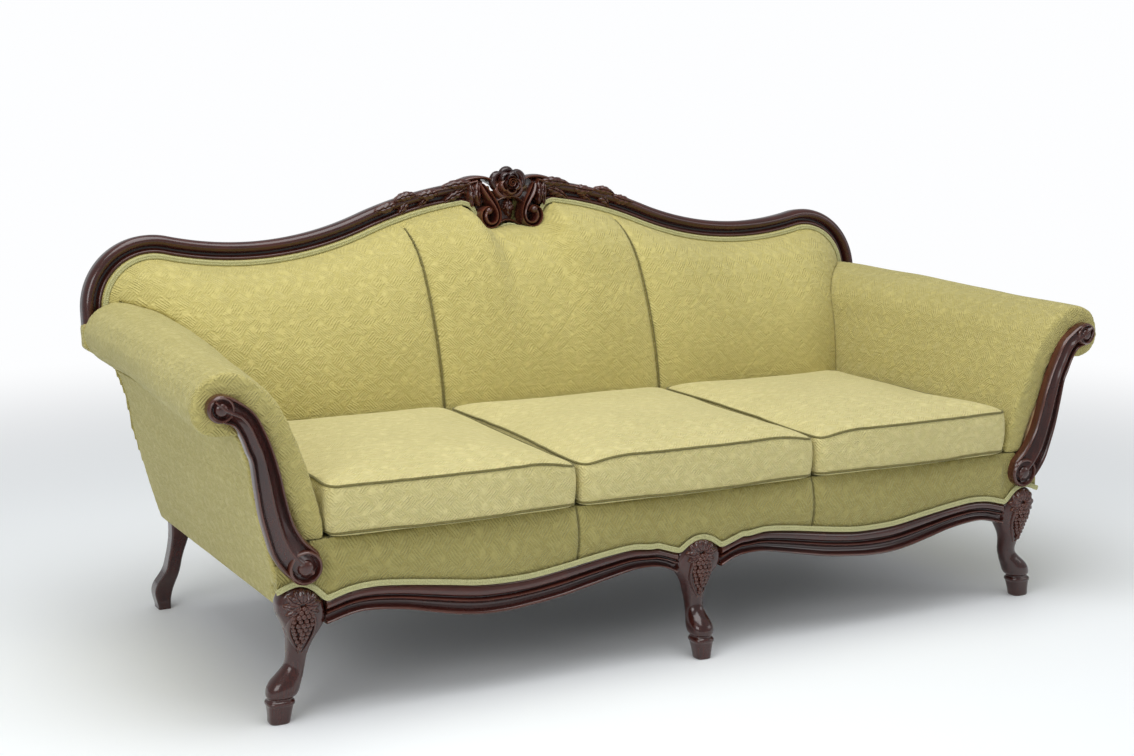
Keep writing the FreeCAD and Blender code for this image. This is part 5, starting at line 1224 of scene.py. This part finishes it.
def braid_tree():
    """Two rows of slanting loops laid along a line, whose face is turned to the front."""
    tree, given, add = group_of("gimp_loops", (
        ("Geometry", "Geometry", None), ("Loop Spacing", "Float", None), ("Loop Length", "Float", None),
        ("Loop Width", "Float", None), ("Loop Slant", "Float", None), ("Braid", "Material", None)),
        (("Geometry", "Geometry"),), "GeometryNodeTree")
    curve = add("GeometryNodeMeshToCurve", {0: given["Geometry"]})
    even = add("GeometryNodeResampleCurve", {"Curve": curve.outputs[0], "Length": given["Loop Spacing"]},
               mode="LENGTH")
    turn = add("FunctionNodeAxesToRotation", {"Primary Axis": add("GeometryNodeInputTangent").outputs[0],
                                              "Secondary Axis": (0, -1, 0)}, primary_axis="X", secondary_axis="Z")
    loop = add("GeometryNodeMeshUVSphere", {"Segments": 8, "Rings": 5})
    size = add("ShaderNodeCombineXYZ", {"X": given["Loop Width"], "Y": given["Loop Length"], "Z": 0.0015})
    rows = add("GeometryNodeJoinGeometry")
    for sign in (-1, 1):
        laid = add("GeometryNodeInstanceOnPoints", {"Points": even.outputs[0], "Instance": loop.outputs["Mesh"],
                                                    "Rotation": turn.outputs[0]})
        aside = worked(add, "MULTIPLY", given["Loop Length"], sign * 0.78)
        place = add("ShaderNodeCombineXYZ", {"Y": aside})
        angle = add("ShaderNodeCombineXYZ", {"Z": worked(add, "MULTIPLY", given["Loop Slant"], sign)})
        moved = add("GeometryNodeTranslateInstances", {"Instances": laid.outputs[0], "Translation": place.outputs[0]})
        turned = add("GeometryNodeRotateInstances", {"Instances": moved.outputs[0], "Rotation": angle.outputs[0]})
        scaled = add("GeometryNodeScaleInstances", {"Instances": turned.outputs[0], "Scale": size.outputs[0]})
        tree.links.new(scaled.outputs[0], rows.inputs[0])
    finished(add, rows.outputs[0], given["Braid"])
    return tree


GIMP_LOOPS = braid_tree()


def speckled(name, low, high, scale, rough, stretch=(1, 1, 1), metallic=0.0, depth=0.0004, sheen=0.0):
    """A plain material whose colour, gloss and height vary with a fine speckle or grain."""
    material = bpy.data.materials.new(name)
    add = nodes_of(material)
    shape = add("ShaderNodeMapping", {"Vector": add("ShaderNodeTexCoord").outputs["Object"], "Scale": stretch})
    fleck = add("ShaderNodeTexNoise", {"Vector": shape.outputs[0], "Scale": scale, "Detail": 5}).outputs["Fac"]
    spread = add("ShaderNodeMapRange", {"Value": fleck, "From Min": 0.34, "From Max": 0.66})
    gloss = add("ShaderNodeMapRange", {"Value": fleck, "To Min": rough * 0.85, "To Max": min(rough * 1.1, 1)})
    surfaced(add, mixed_colour(add, spread.outputs[0], (*low, 1), (*high, 1)), gloss.outputs[0], fleck, (0.6, depth),
             {"Metallic": metallic, "Sheen Weight": sheen})
    return material


BRAID = speckled("gimp_braid", (0.30, 0.29, 0.11), (0.55, 0.53, 0.27), 900, 0.75, sheen=0.3)


def braided(name, points, node):
    """A gimp along millimetre points: its tape with the loops on it, all one piece."""
    points = np.array(points)
    way = np.gradient(points, axis=0)
    way /= np.linalg.norm(way, axis=1)[:, None]
    across = np.cross(way, (0, -1, 0))
    across /= np.linalg.norm(across, axis=1)[:, None]
    front = np.cross(across, way)
    front *= -np.sign(front[:, 1])[:, None]
    rows = np.stack([points + u * across + f * front for u, f in
                     ((-5.4, -0.8), (-5.2, 0.5), (-2.5, 0.9), (0, 0.3), (2.5, 0.9), (5.2, 0.5), (5.4, -0.8))], axis=1)
    tape = carved(name, skin(rows), 80)
    line = bpy.data.meshes.new("line")
    line.from_pydata((points * 0.001).tolist(), [(i, i + 1) for i in range(len(points) - 1)], [])
    loops = worked_out(name + "_loops", line, GIMP_LOOPS, {"Loop Spacing": 0.0042, "Loop Length": 0.0031,
                                                           "Loop Width": 0.0019, "Loop Slant": 0.5, "Braid": BRAID})
    both = bmesh.new()
    both.from_mesh(tape.data)
    both.from_mesh(loops.data)
    both.to_mesh(tape.data)
    both.free()
    bpy.data.objects.remove(loops)
    tape.data.shade_smooth()
    fitted(tape, [node], BRAID)


corner_out = -side_of(LEG_ARCH[::-1])[::-1]
GIMP_HALF = 5.6
corner_line = [(x + abs(out_x) * np.sign(x - 846) * GIMP_HALF, -437.5, z + abs(out_z) * GIMP_HALF)
               for (x, z), (out_x, out_z) in zip(LEG_ARCH, corner_out)]
corner_line = [spot for spot in corner_line if spot[0] > 790 and 224 < spot[2] < 268]
middle_line = [(x, -438.6, rail_top(x) + GIMP_HALF) for x in np.linspace(-788, 788, 420)]
braided("gimp_along_rail", [(-x, y, z) for x, y, z in corner_line[::-1]] + middle_line + corner_line, "gimp_front")
crest_places, crest_out = crest_line(85.0, 662.0)
crest_braid = on_back(crest_places[:, 0] - 26.4 * crest_out[:, 0], crest_places[:, 1] - 26.4 * crest_out[:, 1], 39.8)
volute_braid = smooth_line([(0, 815), (12, 813), (26, 807.5), (40, 805), (54, 808), (66, 815), (77, 828), (85, 842),
                            (91, 855), (99, 864), (110, 868.5)], 60)
crest_keep = crest_braid[crest_places[:, 0] > 116]
crest_braid = np.vstack([on_back(volute_braid[:, 0], volute_braid[:, 1], 41.0), crest_keep])
braided("gimp_crest_right", crest_braid, "gimp_crest")
braided("gimp_crest_left", mirror_of(crest_braid), "gimp_crest")

# Beech frame and steel clips
# The hidden rails, posts and blocks are plain sawn beech, dowelled and glued together, and the
# spring clips are bent steel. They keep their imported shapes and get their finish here.
BEECH = speckled("beech", (0.40, 0.24, 0.12), (0.60, 0.42, 0.24), 22, 0.55, (0.35, 3.0, 3.0), depth=0.0002)
STEEL = speckled("spring_steel", (0.22, 0.22, 0.23), (0.42, 0.42, 0.44), 240, 0.36, metallic=1.0, depth=0.00005)
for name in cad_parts:
    slots = bpy.data.objects[name].material_slots if name in bpy.data.objects else ()
    packed = slots[0].material.name.split(".")[0] if slots and slots[0].material else None
    if packed in ("beech", "spring_steel"):
        for slot in slots:
            slot.material = BEECH if packed == "beech" else STEEL

# Back webbing
# Three straps of woven jute with thicker edges, stretched across the back from post to post and
# tacked there. The stuffing of the back lies on them.
JUTE = speckled("jute_webbing", (0.30, 0.20, 0.10), (0.55, 0.41, 0.24), 420, 0.9, (1, 3, 1), depth=0.0005)
STRAP_SECTION = [
    (0.0, 38.3), (0.0, 39.4), (3, 39.6), (6, 39.3), (25, 39.5), (44, 39.3), (47, 39.6), (50, 39.4), (50, 38.3)]
straps = [skin([[on_back(x, foot + up, f) for up, f in STRAP_SECTION] for x in np.linspace(-854, 854, 110)])
          for foot in (410, 520, 630)]
webbing = carved("back_webbing_straps", joined(*straps), 60)
fitted(webbing, ["back_webbing"], JUTE)

# Seat springs
# Twelve zigzag springs of round steel wire, four under each cushion, hooked in clips on the front
# and back rails of the seat.


def spring_line(x):
    """The middle line of one zigzag spring, from its front clip to its back clip."""
    first, bend = -375.0, 15.0
    span = SPRING_END - first
    pairs = int((span - 4 * bend) / 60.0)
    lead = (span - pairs * 60.0) / 2
    y = first + lead
    line = [(x, first), (x, y - bend)]
    line += [(x + bend * (1 - math.cos(a)), y - bend + bend * math.sin(a)) for a in np.linspace(0.3, math.pi / 2, 4)]
    at = x + bend
    for number in range(2 * pairs):
        way = 1 if number % 2 == 0 else -1
        corner = x + way * 20
        line.append((at, y))
        line += [(corner + way * bend * math.sin(a), y + bend * (1 - math.cos(a)))
                 for a in np.linspace(0.0, math.pi, 8)]
        at, y = corner, y + 2 * bend
    line.append((x + bend, y))
    line += [(x + bend * math.cos(a), y + bend * math.sin(a)) for a in np.linspace(0.4, math.pi / 2, 4)]
    line.append((x, SPRING_END))
    clean = [line[0]]
    for spot in line[1:]:
        if math.dist(spot, clean[-1]) > 0.5:
            clean.append(spot)
    return np.array(clean)


SPRING_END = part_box("seat_springs")[1][1] * 1000
SPRING_LEVEL = (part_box("seat_springs")[0][2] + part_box("seat_springs")[1][2]) * 500
WIRE = 1.8
wires = []
for start, end in ((-790.5, -CUSHION_JOINT), (-CUSHION_JOINT, CUSHION_JOINT), (CUSHION_JOINT, 790.5)):
    for number in range(4):
        flat = spring_line(start + (number + 0.5) * (end - start) / 4)
        side = side_of(flat)
        wires.append(skin([[(px + WIRE * math.cos(a) * sx, py + WIRE * math.cos(a) * sy,
                             SPRING_LEVEL + WIRE * math.sin(a)) for a in turns(6)]
                           for (px, py), (sx, sy) in zip(flat, side)]))
fitted(carved("seat_spring_wires", joined(*wires), 60), ["seat_springs"], STEEL)

# Seat deck
# A layer of stuffing under plain olive cloth, laid over the springs and tacked to the rails. The
# loose cushions lie on it.
DECK_CLOTH = speckled("deck_cloth", (0.20, 0.19, 0.07), (0.33, 0.31, 0.14), 700, 0.88, depth=0.0003)
deck = evenly_divided("seat_deck", "seat_deck_cover", 0.010, 2)
swell(deck.data, lambda spots: -0.0015 + 0.0008 * wavering(spots, 6.0, 4.0))
deck.data.shade_smooth()
fitted(deck, ["seat_deck"], DECK_CLOTH)

# Dust cover
# Black cambric tacked under the seat rails, a thin sheet that sags a little between them and
# keeps dust out of the springs.
CAMBRIC = speckled("black_cambric", (0.008, 0.008, 0.009), (0.030, 0.030, 0.032), 1500, 0.92, depth=0.0001)
across, along = np.linspace(-824, 824, 56), np.linspace(-372, 350, 26)
rows = []
for y in along:
    sag = [(x, y, 213.9 - 2.6 * math.sin(math.pi * (y + 372) / 722) * (1 - (x / 830) ** 6)
            + 0.5 * noise.noise(Vector((x * 0.02, y * 0.02, 1)))) for x in across]
    rows.append(sag + [(x, y, 214.8) for x in across[::-1]])
cambric = carved("dust_cover_cambric", skin(rows), 60)
fitted(cambric, ["dust_cover"], CAMBRIC)
